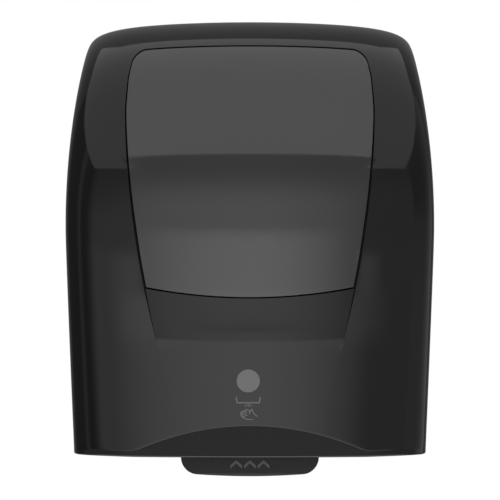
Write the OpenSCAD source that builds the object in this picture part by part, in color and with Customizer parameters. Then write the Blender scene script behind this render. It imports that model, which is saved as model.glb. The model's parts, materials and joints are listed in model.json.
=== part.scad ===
// Electronic paper towel dispenser with a push bar, wall mounted.
// Millimetres. Front faces -Y, up is +Z, the wall is the plane y = 0.
// Inside the modules z is counted from the bottom of the body.

/* [Body] */
// Greatest width of the body
body_width = 295.5; // [289:0.5:309]
// Height of the body without the push bar
body_height = 350; // [345:1:363]
// Greatest depth from the wall
body_depth = 232; // [228:1:244]
// Wall of the front cover
cover_wall = 2.8; // [2.2:0.1:3.2]
// Height at which the body is widest
widest_z = 186; // [170:1:200]
// Curve of the sides above the widest height
upper_side_radius = 690; // [600:5:800]
// Slope of the straight sides below the widest height
side_taper = 0.0365; // [0.025:0.0005:0.045]
// Height at which the front stands furthest out
shoulder_z = 188; // [178:1:198]
// Depth at which the flat top ends
shoulder_y = 60; // [56:1:70]
// Curve of the lower front
belly_radius = 890; // [800:10:1400]
// Depth lost round the side edge of the front
edge_drop = 34; // [28:1:38]
// How far the lower edge rises towards the sides
lower_rise = 2.5; // [1:0.5:3]
// Gap between the cover rim and the back plate
rim_gap = 1.2; // [1:0.1:1.6]

/* [Window] */
// Half width of the window at its widest
window_half = 99; // [92:0.5:101]
// Height of cover left above the window
window_head = 19; // [17:0.5:25]
// Radius of the upper corners of the window
window_corner = 15; // [12:0.5:18]
// Height of the lower corners of the window
window_bottom = 137; // [130:0.5:142]
// How far the lower edge of the window bows down
window_bow = 8; // [5:0.5:10]
// Gap round the pane
pane_gap = 1; // [0.7:0.1:1.3]
// Thickness of the pane
pane_wall = 2.2; // [1.8:0.1:2.6]
// Depth of the ramp under the window
ramp_depth = 3.5; // [2.5:0.1:4]
// Height at which the ramp ends
ramp_end = 96; // [90:1:102]

/* [Arch and push bar] */
// Height of the arch at the middle
arch_height = 25.3; // [20:0.1:28]
// Half width of the arch
arch_half = 93; // [84:1:98]
// How far the arch face runs back
arch_setback = 19.5; // [16:0.5:20]
// Width of the push bar
push_width = 111; // [100:1:116]
// How far the push bar hangs below the body
push_drop = 16; // [12:0.5:18]
// Thickness of the push bar
push_wall = 8; // [6:0.5:8.5]
// Radius of the lower corners of the push bar
push_corner = 14; // [8:0.5:15]
// Curve of the lower edge of the push bar
push_bow_radius = 560; // [400:10:900]

/* [Wall plate] */
// Thickness of the back plate
plate_wall = 3; // [2.5:0.1:3.4]
// Depth of the rim flange of the back plate
flange_depth = 12.8; // [12:0.1:14]
// Distance between the wall screws, sideways
mount_across = 170; // [150:1:180]
// Distance between the wall screws, upwards
mount_up = 180; // [172:1:184]
// Height of the middle of the wall screws above the bottom
mount_z = 190; // [188:1:194]
// Wall screw hole
screw_hole = 5.5; // [5:0.1:6]
// Diameter of the cover hinge pins
hinge_pin_d = 6; // [5:0.1:6.5]

/* [Feed rollers] */
// Room beside the towel on each side, for the gears and the walls
side_room = 46.25; // [45.5:0.25:48.5]
// Distance of the drive roller behind the front of the body
roller_set_back = 92; // [90:1:96]
// Drive roller diameter
drive_d = 32; // [30:0.2:32.6]
// Pinch roller diameter
pinch_d = 18; // [16:0.2:19]
// Drive shaft diameter
drive_shaft_d = 8; // [7:0.1:8.4]
// Pinch shaft diameter
pinch_shaft_d = 6; // [5:0.1:6.4]
// Lever shaft diameter
lever_shaft_d = 8; // [7:0.1:8.4]
// Thickness of the module side plates
side_wall = 4; // [3.5:0.1:4.2]
// Motor can diameter
motor_d = 28; // [25:0.5:29]
// Motor can length
motor_len = 48; // [42:0.5:52]

/* [Gears] */
// Gear module
gear_module = 1; // [0.96:0.01:1.02]
// Teeth of the drive gear
drive_teeth = 48; // [46:2:50]
// Teeth of the large idler wheel
idler_teeth = 40; // [38:2:42]
// Teeth of the small idler wheel
idler_small_teeth = 14; // [13:1:15]
// Teeth of the motor pinion
motor_teeth = 12; // [12:1:13]
// Teeth of the full circle of the lever sector
sector_teeth = 66; // [65:1:67]
// Teeth of the clutch pinion
clutch_teeth = 26; // [25:1:27]

/* [Batteries] */
// Battery cell diameter
cell_d = 33.2; // [32:0.1:34]
// Battery cell length
cell_len = 61.5; // [60:0.1:61.6]

/* [Roll holder] */
// Inside diameter of the towel roll core
core_d = 38; // [34:0.5:40]
// Height of the roll axis
roll_z = 222; // [216:1:226]
// Distance of the roll axis from the wall
roll_y = 108; // [102:1:112]

/* [Hidden] */
$fn = 48;
rim_y = flange_depth + rim_gap;
towel_width = body_width - 2*side_room;
window_top = body_height - window_head;
window_taper_z = window_top - 41;
top_crown = 6.5;
top_taper_z = body_height - edge_drop - top_crown;
edge_power = 5.5;
top_edge_power = 7;
taper_ease = 12;
lip_height = 4.5;
lip_back = 3;
seat = 0.35;
run = 0.05;
side_steps = 8;
window_steps = 12;
wall_steps = 4;
hinge_y = -60;
hinge_z = 12;
plate_in = towel_width/2 + 4;
plate_out = plate_in + side_wall;
drive_y = roller_set_back - body_depth;
drive_z = 62;
pinch_y = drive_y - drive_d/2 - 0.3 - pinch_d/2;
lever_angle = 34.4;
lever_reach = gear_module*(sector_teeth + clutch_teeth)/2;
lever_y = drive_y - lever_reach*cos(lever_angle);
lever_z = drive_z - lever_reach*sin(lever_angle);
idler_y = drive_y + gear_module*(drive_teeth + idler_small_teeth)/2;
motor_y = idler_y + gear_module*(idler_teeth + motor_teeth)/2;
drive_plane = -plate_out - 9;
idler_plane = drive_plane - 7.5;
plate_top = 92;
tray_top = 5;
tray_low = 2;
slot_front = drive_y - drive_d/2 - 7;
slot_rear = drive_y - drive_d/2 + 4;
push_front = lever_y - 6;
box_half = cell_len + 4;
box_out = box_half + 2;
box_x = 16;
box_rear = -plate_wall - 1;
box_depth = cell_d + 12;
box_front = box_rear - box_depth;
box_low = 10;
box_top = box_low + 2*cell_d + 6;
cell_y = box_rear - box_depth/2;
lid_y = box_rear - 4;
lid_z = box_top + 3.5;
lock_y = -38;
lock_half_y = 8;
top_in = body_height - cover_wall;
arm_in = towel_width/2 + 2.5;
arm_out = arm_in + 4;
arm_pin_x = -(arm_in + 6);
arm_pin_y = -plate_wall - 10;

tray_front = drive_y - 36;
sensor_y = drive_y + 20;
sensor_half = 14;
guide_y = drive_y - 24;
guide_z = plate_top - 8;
guide_r = 3;

// Half width of the shell at height z
function half_width(z) = body_width/2
  - (z > widest_z ? pow(z - widest_z, 2)/(2*upper_side_radius)
                  : side_taper*(norm([widest_z - z, taper_ease]) - taper_ease));

// Side profile of the shell: top for u below 1, shoulder to 2, lower front to 3
function arc_angle(u) = 90*(2 - u);
function profile(u) =
  u <= 1 ? [-rim_y - u*(shoulder_y - rim_y), body_height]
  : u <= 2 ? [-shoulder_y - (body_depth - shoulder_y)*cos(arc_angle(u)),
              shoulder_z + (body_height - shoulder_z)*sin(arc_angle(u))]
  : [-body_depth + pow(shoulder_z*(u - 2), 2)/(2*belly_radius), shoulder_z*(3 - u)];
function unit(v) = v/norm(v);
function inward(u) =
  u <= 1 ? [0, -1]
  : u <= 2 ? unit([cos(arc_angle(u))/(body_depth - shoulder_y),
                   -sin(arc_angle(u))/(body_height - shoulder_z)])
  : [1, 0];
function u_at(z) = z > shoulder_z
  ? 2 - asin((z - shoulder_z)/(body_height - shoulder_z))/90
  : 3 - z/shoulder_z;
function limit(v, low, high) = max(low, min(high, v));
function crown(u) = top_crown + (9 - top_crown)*limit(u - 1, 0, 1);
function power_at(u) = edge_power + (top_edge_power - edge_power)*limit((1.6 - u)/0.6, 0, 1);
function side_drop(u, s) = let (p = power_at(u)) crown(u)*s*s
  + edge_drop*(1 - pow(max(0, 1 - pow(min(1, abs(s)), p)), 1/p));

// A point of the shell at profile place u and side place s, set in by d
function shell_at(u, s, d, wall) =
  let (p = profile(u), n = inward(u), move = side_drop(u, s) + d,
       z = p[1] + n[1]*move)
  [s*(half_width(z) - wall), p[0] + n[0]*move, z];

// Half width of the window, grown by g
function window_width(z, g) =
  let (c = window_top - window_corner, base = window_half - 0.00064*pow(max(0, window_taper_z - z), 2))
  z <= c ? base + g
  : base - window_corner + sqrt(max(0, pow(window_corner + g, 2) - pow(z - c, 2)));
function corner_z(angle, g) = window_top - window_corner + (window_corner + g)*sin(angle);

// Rows of the cover, each [u, kind, share]
arch_start = 42;
lower_u = u_at(window_bottom);
corner_u = u_at(window_top - window_corner);
cover_rows = concat(
  [[0, 0, 0], [(-lock_y - lock_half_y - rim_y)/(shoulder_y - rim_y), 0, 0],
   [(-lock_y + lock_half_y - rim_y)/(shoulder_y - rim_y), 0, 0], [1, 0, 0]],
  [for (k = [1:3]) [1 + (u_at(window_top) - 1)*k/4, 0, 0]],
  [for (k = [0:3]) [u_at(corner_z(90 - 22.5*k, 0)), 1, 0]],
  [for (k = [0:8]) [corner_u + (2 - corner_u)*k/9, 1, 0]],
  [for (k = [0:2]) [2 + (lower_u - 2)*k/3, 2, k/3]],
  [for (k = [0:2]) [lower_u + (u_at(ramp_end) - lower_u)*k/3, 3, 1 - k/3]],
  [for (k = [0:3]) [u_at(ramp_end) + (u_at(arch_start) - u_at(ramp_end))*k/4, 0, 0]],
  [for (k = [0:3]) [u_at(arch_start), 4, k/3]],
  [for (k = [1:2]) [3, 5, k/2]]);
last_row = len(cover_rows) - 1;
window_first = 7;
window_last = 23;

// Half width of the window line in a row of the cover
function row_window(r) = r[1] == 0 && r[0] < 2
  ? window_half - window_corner
  : window_width(profile(min(r[0], u_at(30)))[1], 0);
function side_place(k, sw) =
  let (low = asin(pow(sw, edge_power/2)), a = 90 - (90 - low)*k/side_steps)
  pow(sin(a), 2/edge_power);
first_line = side_steps;
last_line = side_steps + 2 + window_steps;
last_column = last_line + side_steps;
function column_place(j, sw, g) =
  j <= first_line ? -side_place(j, sw)
  : j >= last_line ? side_place(last_column - j, sw)
  : (sw - g)*(2*(j - first_line - 1)/window_steps - 1);
// Lower edge of the cover, and the line above it at which the lip or the arch turns under
function lower_z(x) = lower_rise*pow(2*x/body_width, 2);
function arch_share(x) = max(0, 1 - pow(x/arch_half, 2));
function arch_z(x) = lower_z(x) + lip_height + (arch_height - lip_height)*arch_share(x);
function arch_back(x) = lip_back + (arch_setback - lip_back)*arch_share(x);

// A point of the cover in row i and section column j, set in by d
function cover_section(i, j, d) =
  let (r = cover_rows[i], z0 = profile(r[0])[1], hw = half_width(min(z0, top_taper_z)),
       sw = row_window(r)/hw, s = column_place(j, sw, 1.2/hw),
       q = limit(s/sw, -1, 1), bow = window_bow*(1 - q*q)/shoulder_z,
       x = s*half_width(20),
       inside = j > first_line && j < last_line)
  r[1] == 2 ? shell_at(r[0] + bow*r[2], s, d, d)
  : r[1] == 3 ? shell_at(r[0] + bow*r[2], s, d + (inside ? ramp_depth*r[2] : 0), d)
  : r[1] == 4 ? shell_at(u_at(arch_start + (arch_z(x) - arch_start)*r[2]), s, d, d)
  : r[1] == 5 ? let (p = shell_at(u_at(arch_z(x)), s, d + arch_back(x)*r[2], d))
                [p[0], p[1], arch_z(x) + (lower_z(x) - arch_z(x))*r[2]]
  : shell_at(r[0], s, d, d);
rim_top_z = top_taper_z - 4;
function rim_z(i) = rim_top_z + (6 - rim_top_z)*i/last_row;
function cover_wall_point(i, k, d, side) =
  let (e = cover_section(i, side < 0 ? 0 : last_column, d), f = k/wall_steps,
       z = e[2] + (rim_z(i) - e[2])*f)
  [side*(half_width(z) - d), e[1] + (-rim_y - e[1])*f, z];
function cover_row(i, d) = concat(
  [for (k = [wall_steps:-1:1]) cover_wall_point(i, k, d, -1)],
  [for (j = [0:last_column]) cover_section(i, j, d)],
  [for (k = [1:wall_steps]) cover_wall_point(i, k, d, 1)]);
cover_columns = last_column + 2*wall_steps;
lock_left = wall_steps + first_line + 1 + window_steps/2 - 1;
function cover_kept(i, j) =
  i >= 0 && i < last_row && j >= 0 && j < cover_columns
  && !(i >= window_first && i < window_last
       && j >= wall_steps + first_line && j < wall_steps + last_line)
  && !(i == 1 && j >= lock_left && j < lock_left + 2);
function all_kept(i, j, rows, columns) = i >= 0 && i < rows && j >= 0 && j < columns;

// Faces of a sheet: cells that are kept, front and back, and the walls of each open edge
function sheet_faces(kept, rows, columns) =
  let (w = columns + 1, b = (rows + 1)*w)
  [for (i = [0:rows - 1], j = [0:columns - 1]) if (kept(i, j))
    let (a = i*w + j, c = a + w)
    each concat(
      [[a, a + 1, c + 1], [a, c + 1, c], [b + a, b + c + 1, b + a + 1], [b + a, b + c, b + c + 1]],
      kept(i - 1, j) ? [] : [[a, b + a + 1, a + 1], [a, b + a, b + a + 1]],
      kept(i + 1, j) ? [] : [[c, c + 1, b + c + 1], [c, b + c + 1, b + c]],
      kept(i, j - 1) ? [] : [[a, c, b + c], [a, b + c, b + a]],
      kept(i, j + 1) ? [] : [[a + 1, b + a + 1, b + c + 1], [a + 1, b + c + 1, c + 1]])];

// Rows of the pane, each [z for the edge, z for the pane, kind]
pane_in = -pane_gap - 0.6;
pane_flange = 7;
pane_low_rows = [for (k = [1:9]) corner_u + (2 - corner_u)*k/9];
function pane_rows_from(u) = [profile(u)[1], profile(u)[1], 1];
pane_rows = concat(
  [[window_top + 5, window_top + 5, 0], [corner_z(90, -pane_gap), corner_z(90, -pane_gap), 0],
   [corner_z(90, -pane_gap), corner_z(90, pane_in), 1]],
  [for (k = [1:4]) [corner_z(90 - 22.5*k, -pane_gap), corner_z(90 - 22.5*k, pane_in), 1]],
  [for (u = pane_low_rows) pane_rows_from(u)],
  [for (k = [1:2]) [shoulder_z + (window_bottom - shoulder_z)*k/3,
                    shoulder_z + (window_bottom - shoulder_z)*k/3, 2 + k/3]],
  [[window_bottom + pane_gap + 0.6, window_bottom + pane_gap + 0.6, 3],
   [window_bottom + pane_gap, window_bottom + pane_gap, 4],
   [window_bottom - pane_flange, window_bottom - pane_flange, 4]]);
pane_last_row = len(pane_rows) - 1;
pane_last_column = window_steps + 4;
function pane_set_in(z) = 1.2 + (ramp_depth - 1.2)*limit((window_top - z)/(window_top - window_bottom), 0, 1);
function pane_point(i, j, back) =
  let (r = pane_rows[i], edge = j < 2 || j > pane_last_column - 2,
       rim = j == 0 || j == pane_last_column,
       z = edge ? r[0] : r[1],
       hw = half_width(min(z, top_taper_z)),
       zw = limit(z, 60, window_top - 0.01),
       line = r[2] == 0 ? window_half - window_corner : window_width(zw, edge ? -pane_gap : pane_in),
       w = (rim ? window_width(limit(z, 60, window_top - window_corner), pane_flange) : line)/hw,
       side = j < pane_last_column/2 ? -1 : 1,
       s = edge ? side*w : w*(2*(j - 2)/window_steps - 1),
       sw = window_width(zw, 0)/hw, q = limit(s/sw, -1, 1),
       share = r[2] < 2 ? 0 : limit(r[2] - 2, 0, 1),
       u = u_at(z) + window_bow*(1 - q*q)/shoulder_z*share,
       low = r[2] == 4, flat = edge || r[2] == 0,
       d = low ? cover_wall + ramp_depth + seat : flat ? cover_wall + seat : pane_set_in(z),
       deep = r[2] >= 3 ? cover_wall + ramp_depth + pane_wall
              : max(cover_wall + seat, pane_set_in(z)) + pane_wall)
  shell_at(u, s, back ? deep : d, cover_wall);

// Outline of the wall plate, set in from the cover outline
function outline_side(set_in) = [for (k = [0:20]) let (z = 6 + (rim_top_z - 6)*k/20)
  [half_width(z) - set_in, z]];
function outline_top(set_in) = [for (k = [0:24]) let (a = 90 - 90*k/24,
  s = pow(sin(a), 2/edge_power), z = body_height - set_in - side_drop(0, s))
  [s*(half_width(z) - set_in), z]];
function half_outline(set_in) = concat(outline_side(set_in), outline_top(set_in));
function outline(set_in, low) =
  let (h = half_outline(set_in), n = len(h))
  concat([[h[0][0], low]], h, [for (k = [n - 2:-1:0]) [-h[k][0], h[k][1]]], [[-h[0][0], low]]);

// Gear teeth as involutes with play between them
function involute(a) = tan(a)*180/PI - a;
function tooth_half(n, rho) =
  let (pitch = gear_module*n/2, base = pitch*cos(20))
  90/n - 1.6/n - involute(acos(min(1, base/max(rho, base)))) + involute(20);
function tooth(n, k) =
  let (pitch = gear_module*n/2, top = pitch + 0.75*gear_module,
       root = pitch - 1.05*gear_module, low = max(root + 0.05, pitch*cos(20)),
       steps = [low, (low + pitch)/2, pitch + 0.3*gear_module, top], c = 360*k/n)
  concat([[root, c - tooth_half(n, low) - 0.4]],
         [for (q = steps) [q, c - tooth_half(n, q)]],
         [for (m = [3:-1:0]) [steps[m], c + tooth_half(n, steps[m])]],
         [[root, c + tooth_half(n, low) + 0.4]]);
function around(list) = [for (p = list) [p[0]*cos(p[1]), p[0]*sin(p[1])]];

// A wheel of n teeth with one tooth on the angle a
module wheel(n, a) {
  rotate(a) polygon(around([for (k = [0:n - 1]) each tooth(n, k)]));
}

// Shapes drawn in y and z and drawn out along x, from x0 to x1
module along_x(x0, x1) {
  translate([x0, 0, 0]) rotate([90, 0, 90]) linear_extrude(x1 - x0) children();
}

// Shapes drawn in x and z and drawn out along y, from the rear y0 to the front y1
module along_y(y0, y1) {
  translate([0, y0, 0]) rotate([90, 0, 0]) linear_extrude(y0 - y1) children();
}

module rod_x(x0, x1, y, z, r) {
  translate([x0, y, z]) rotate([0, 90, 0]) cylinder(h = x1 - x0, r = r);
}

module block(x0, x1, y0, y1, z0, z1) {
  translate([x0, y0, z0]) cube([x1 - x0, y1 - y0, z1 - z0]);
}

module spot(y, z, r) {
  translate([y, z]) circle(r = r);
}

module both_sides() {
  children();
  mirror([1, 0, 0]) children();
}

module placed() {
  translate([0, 0, -mount_z]) children();
}

// Front cover
module front_cover() {
  color("#2b2c2e") placed() polyhedron(
    concat([for (i = [0:last_row]) each cover_row(i, 0)],
           [for (i = [0:last_row]) each cover_row(i, cover_wall)]),
    sheet_faces(function (i, j) cover_kept(i, j), last_row, cover_columns));
}

module window_pane() {
  color("#3a3b3d") placed() polyhedron(
    concat([for (i = [0:pane_last_row], j = [0:pane_last_column]) pane_point(i, j, false)],
           [for (i = [0:pane_last_row], j = [0:pane_last_column]) pane_point(i, j, true)]),
    sheet_faces(function (i, j) all_kept(i, j, pane_last_row, pane_last_column),
                pane_last_row, pane_last_column));
}

lug_gap = 0.35;
lug_r = hinge_pin_d/2 + 4;
lug_out = half_width(hinge_z - lug_r) - cover_wall - lug_gap;
module cover_hinge_lugs() {
  color("#2b2c2e") placed() both_sides() difference() {
    union() {
      rod_x(lug_out - 7.5, lug_out, hinge_y, hinge_z, lug_r);
      block(lug_out - 3, lug_out, hinge_y - lug_r, hinge_y + lug_r, hinge_z, hinge_z + 26);
    }
    rod_x(lug_out - 9, lug_out + 1, hinge_y, hinge_z, hinge_pin_d/2 + 0.08);
  }
}

// Lock in the top of the cover
lock_gap = 0.5;
lock_x = cover_section(1, lock_left - wall_steps + 2, cover_wall)[0];
module lock_housing() {
  color("#26272a") placed() difference() {
    union() {
      block(-lock_x + lock_gap, lock_x - lock_gap, lock_y - lock_half_y + lock_gap,
            lock_y + lock_half_y - lock_gap, top_in - 16, body_height - 0.3);
      block(-lock_x - 3, lock_x + 3, lock_y - lock_half_y - 4, lock_y + lock_half_y + 4,
            top_in - 2.6, top_in - 0.1);
    }
    translate([0, lock_y, top_in - 17]) cylinder(h = 30, r = 6 + run);
  }
}

module lock_barrel() {
  color("#b9bbbd") placed() difference() {
    translate([0, lock_y, top_in - 18]) cylinder(h = 18 + cover_wall - 0.5, r = 6);
    block(-0.8, 0.8, lock_y - 3.6, lock_y + 3.6, body_height - 9, body_height + 1);
  }
}

module lock_cam() {
  color("#9a9c9f") placed() translate([0, lock_y, top_in - 21]) union() {
    cylinder(h = 3, r = 6);
    translate([-4.5, 0, 0]) cube([9, 22, 3]);
  }
}

keeper_low = top_in - 32;
module latch_keeper() {
  color("#9a9c9f") placed() union() {
    block(9.5, 25, -plate_wall - 2, -plate_wall, keeper_low - 16, keeper_low + 4);
    block(9.5, 25, lock_y - 14, -plate_wall, keeper_low, keeper_low + 2.5);
    block(9.5, 25, lock_y - 14, lock_y - 11.5, keeper_low, top_in - 18.5);
  }
}

// Wall plate
module back_plate() {
  color("#3b3c3f") placed() difference() {
    union() {
      along_y(0, -plate_wall) polygon(outline(0.6, 2));
      along_y(-plate_wall + 0.5, -flange_depth) difference() {
        polygon(outline(0.6, 2));
        polygon(outline(3.6, 5));
        translate([-200, -20]) square([400, 26]);
      }
      for (x = [-mount_across/2, mount_across/2], z = [-mount_up/2, mount_up/2])
        translate([x, -plate_wall + 0.5, mount_z + z]) rotate([90, 0, 0]) cylinder(h = 2.5, r = 9);
      for (x = [-56, 56])
        block(x - 1.5, x + 1.5, -plate_wall - 1.8, -plate_wall + 0.5, 112, body_height - 60);
    }
    for (x = [-mount_across/2, mount_across/2], z = [-mount_up/2, mount_up/2])
      translate([x, 1, mount_z + z]) rotate([90, 0, 0]) cylinder(h = 20, r = screw_hole/2);
  }
}

tray_half = half_width(4) - cover_wall - 1.6;
ear_in = lug_out - 16;
ear_out = lug_out - 8;
module base_tray() {
  color("#303134") placed() difference() {
    union() {
      both_sides() block(plate_in + 0.5, tray_half, tray_front, slot_rear + 1, tray_low, tray_top);
      both_sides() block(push_width/2 + 5, tray_half, tray_front, slot_front, tray_low, tray_top);
      block(-tray_half, tray_half, slot_rear, -plate_wall, tray_low, tray_top);
      both_sides() along_x(ear_in, ear_out) union() {
        spot(hinge_y, hinge_z, lug_r);
        translate([hinge_y - lug_r, tray_low]) square([2*lug_r, hinge_z - tray_low]);
      }
    }
    both_sides() rod_x(ear_in - 1, ear_out + 1, hinge_y, hinge_z, hinge_pin_d/2);
    both_sides() block(ear_out, tray_half + 1, hinge_y - lug_r - 2, hinge_y + lug_r + 2,
                       tray_low - 1, tray_top + 1);
    block(-sensor_half - 0.3, sensor_half + 0.3, sensor_y - 6.3, sensor_y + 6.3, tray_low - 1, tray_top + 1);
    for (y = tray_screw_y) both_sides()
      translate([plate_in + side_wall/2, y, tray_low - 1]) cylinder(h = 10, r = 1.6);
  }
}

module hinge_pins() {
  color("#c4c6c8") placed() both_sides()
    rod_x(ear_in, lug_out - 0.4, hinge_y, hinge_z, hinge_pin_d/2);
}

module tray_screws() {
  color("#b9bbbd") placed() for (y = tray_screw_y) both_sides()
    translate([plate_in + side_wall/2, y, tray_low]) {
      translate([0, 0, -1.6]) cylinder(h = 1.6, r = 3);
      cylinder(h = 11, r = 1.5);
    }
}

// Feed module
module side_outline() {
  polygon([[module_rear, tray_top], [module_rear, plate_top - 12], [module_rear - 12, plate_top],
           [drive_y - 32, plate_top], [lever_y - 10, lever_z + 22], [lever_y - 10, lever_z - 8],
           [drive_y - 34, tray_top]]);
}

module side_holes() {
  spot(drive_y, drive_z, drive_shaft_d/2 + 3);
  spot(pinch_y, drive_z, pinch_shaft_d/2 + 2);
  spot(lever_y, lever_z, lever_shaft_d/2 + 2.5);
  spot(guide_y, guide_z, guide_r);
}

module plate_screw_holes(side) {
  for (y = tray_screw_y)
    translate([side*(plate_in + side_wall/2), y, tray_top - 1]) cylinder(h = 9.2, r = 1.5);
}

module left_side_plate() {
  color("#5a5c60") placed() difference() {
    along_x(-plate_out, -plate_in) difference() {
      side_outline();
      side_holes();
      spot(idler_y, drive_z, 2.5);
      spot(motor_y, drive_z, 4);
      for (z = [cover_z0 + 7, cover_z1 - 7]) spot(cover_y1 - 7, z, 1.5);
    }
    plate_screw_holes(-1);
  }
}

module right_side_plate() {
  color("#5a5c60") placed() difference() {
    along_x(plate_in, plate_out) difference() {
      side_outline();
      side_holes();
    }
    plate_screw_holes(1);
  }
}

module roller_bushes() {
  color("#d9d6cc") placed() both_sides() along_x(plate_in, plate_out) {
    difference() {
      spot(drive_y, drive_z, drive_shaft_d/2 + 3);
      spot(drive_y, drive_z, drive_shaft_d/2 + run);
    }
    difference() {
      spot(pinch_y, drive_z, pinch_shaft_d/2 + 2);
      spot(pinch_y, drive_z, pinch_shaft_d/2 + run);
    }
  }
}

module lever_bushes() {
  color("#d9d6cc") placed() both_sides() along_x(plate_in, plate_out) difference() {
    spot(lever_y, lever_z, lever_shaft_d/2 + 2.5);
    spot(lever_y, lever_z, lever_shaft_d/2 + run);
  }
}

module chute_front() {
  color("#46484b") placed() union() {
    block(-plate_in, plate_in, slot_front - 2, slot_front, tray_top + 0.5, 46);
    both_sides() block(plate_in - 6, plate_in, slot_front - 5, slot_front, 24, 46);
  }
}

module chute_rear() {
  color("#46484b") placed() union() {
    block(-plate_in, plate_in, slot_rear, slot_rear + 2, tray_top, 43);
    block(-plate_in, plate_in, slot_rear, slot_rear + 14, tray_top, tray_top + 2);
  }
}

blade_half = towel_width/2;
blade_teeth = 40;
module tear_bar() {
  color("#c9cbcd") placed() along_y(slot_front + 0.8, slot_front) polygon(concat(
    [[-blade_half, 20], [-blade_half, 9]],
    [for (k = [0:blade_teeth - 1]) each [
      [-blade_half + blade_half*(2*k + 1)/blade_teeth, 5.5],
      [-blade_half + blade_half*(2*k + 2)/blade_teeth, 9]]],
    [[blade_half, 20]]));
}

module guide_bar() {
  color("#c4c6c8") placed() rod_x(-plate_out, plate_out, guide_y, guide_z, guide_r);
}

board_x = box_x - 6;
button_x = board_x + 10;
button_y = box_front - 10;
cover_lip = drive_y + 18;
module module_cover() {
  color("#3f4144") placed() difference() {
    union() {
      block(-plate_out, plate_out, cover_lip, box_front - 4, plate_top, plate_top + 3);
      block(-plate_in + 0.5, plate_in - 0.5, cover_lip, cover_lip + 3, plate_top - 10, plate_top);
    }
    translate([button_x, button_y, plate_top - 1]) cylinder(h = 6, r = 6 + run);
  }
}

// Drive roller
module drive_shaft() {
  color("#c4c6c8") placed()
    rod_x(drive_plane, plate_out + 13, drive_y, drive_z, drive_shaft_d/2);
}

module drive_sleeve() {
  color("#1f2022") placed() along_x(-towel_width/2, towel_width/2) difference() {
    spot(drive_y, drive_z, drive_d/2);
    spot(drive_y, drive_z, drive_shaft_d/2);
  }
}

module drive_gear() {
  color("#e4e1d6") placed() along_x(drive_plane, drive_plane + 7) translate([drive_y, drive_z])
    difference() {
      wheel(drive_teeth, 0);
      circle(r = drive_shaft_d/2);
      for (k = [0:4]) rotate(36 + 72*k) translate([gear_module*drive_teeth*0.32, 0]) circle(r = 3.6);
    }
}

module one_way_bearing() {
  color("#b9bbbd") placed() along_x(plate_out + 3.5, plate_out + 11.5) difference() {
    spot(drive_y, drive_z, drive_shaft_d/2 + 4);
    spot(drive_y, drive_z, drive_shaft_d/2);
  }
}

module clutch_pinion() {
  color("#e4e1d6") placed() along_x(plate_out + 3.5, plate_out + 11.5) translate([drive_y, drive_z])
    difference() {
      wheel(clutch_teeth, 180 + lever_angle + 180/clutch_teeth);
      circle(r = drive_shaft_d/2 + 4 + run);
    }
}

// Pinch roller
module pinch_shaft() {
  color("#c4c6c8") placed() rod_x(-plate_out, plate_out, pinch_y, drive_z, pinch_shaft_d/2);
}

module pinch_sleeve() {
  color("#26272a") placed() along_x(-towel_width/2 + 1, towel_width/2 - 1) difference() {
    spot(pinch_y, drive_z, pinch_d/2);
    spot(pinch_y, drive_z, pinch_shaft_d/2);
  }
}

// Motor and gear train
module motor() {
  color("#8e9094") placed() union() {
    rod_x(-plate_in, -plate_in + motor_len, motor_y, drive_z, motor_d/2);
    rod_x(-plate_in + motor_len, -plate_in + motor_len + 3, motor_y, drive_z, 5);
    for (z = [-7, 7])
      block(-plate_in + motor_len, -plate_in + motor_len + 5, motor_y - 1.5, motor_y + 1.5,
            drive_z + z - 0.4, drive_z + z + 0.4);
  }
}

module motor_pinion() {
  color("#c8a552") placed() union() {
    along_x(idler_plane, idler_plane + 7) translate([motor_y, drive_z])
      wheel(motor_teeth, 180 + 180/motor_teeth);
    rod_x(idler_plane + 6, -plate_in - 0.3, motor_y, drive_z, 1.5);
  }
}

module idler_gear() {
  color("#e4e1d6") placed() difference() {
    union() {
      along_x(idler_plane, idler_plane + 6.5) translate([idler_y, drive_z]) wheel(idler_teeth, 0);
      along_x(idler_plane + 6, drive_plane + 7) translate([idler_y, drive_z])
        wheel(idler_small_teeth, 180 + 180/idler_small_teeth);
    }
    rod_x(idler_plane - 1, drive_plane + 8, idler_y, drive_z, 2.5 + run);
  }
}

module idler_pin() {
  color("#c4c6c8") placed() rod_x(idler_plane - 0.5, -plate_in, idler_y, drive_z, 2.5);
}

cover_y0 = drive_y - gear_module*drive_teeth/2 - 4.5;
cover_y1 = motor_y + gear_module*motor_teeth/2 + 6;
cover_z0 = drive_z - gear_module*drive_teeth/2 - 4.5;
cover_z1 = drive_z + gear_module*drive_teeth/2 + 4.5;
cover_x = idler_plane - 3;
module_rear = cover_y1 + 17;
tray_screw_y = [module_rear - 22, drive_y + 14];
module gear_cover() {
  color("#3f4144") placed() difference() {
    block(cover_x, -plate_out, cover_y0, cover_y1, cover_z0, cover_z1);
    block(cover_x + 2, -plate_out + 1, cover_y0 + 2, cover_y1 - 2, cover_z0 + 2, cover_z1 - 2);
    for (z = [cover_z0 + 7, cover_z1 - 7])
      rod_x(cover_x - 1, -plate_out + 1, cover_y1 - 7, z, 1.6);
  }
}

module gear_cover_screws() {
  color("#b9bbbd") placed() for (z = [cover_z0 + 7, cover_z1 - 7]) {
    rod_x(cover_x - 1.5, cover_x, cover_y1 - 7, z, 3);
    rod_x(cover_x, -plate_in, cover_y1 - 7, z, 1.5);
  }
}

// Push lever
module lever_shaft() {
  color("#c4c6c8") placed() rod_x(-plate_out, plate_out + 11, lever_y, lever_z, lever_shaft_d/2);
}

bow_z = push_bow_radius - push_drop;
push_corner_x = push_width/2 - push_corner;
push_corner_z = bow_z - sqrt(pow(push_bow_radius - push_corner, 2) - pow(push_corner_x, 2));
// How many times further than a corner's centre its flank reaches from the middle of the bow
bow_reach = (push_bow_radius + 3)/(push_bow_radius - push_corner);

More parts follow.
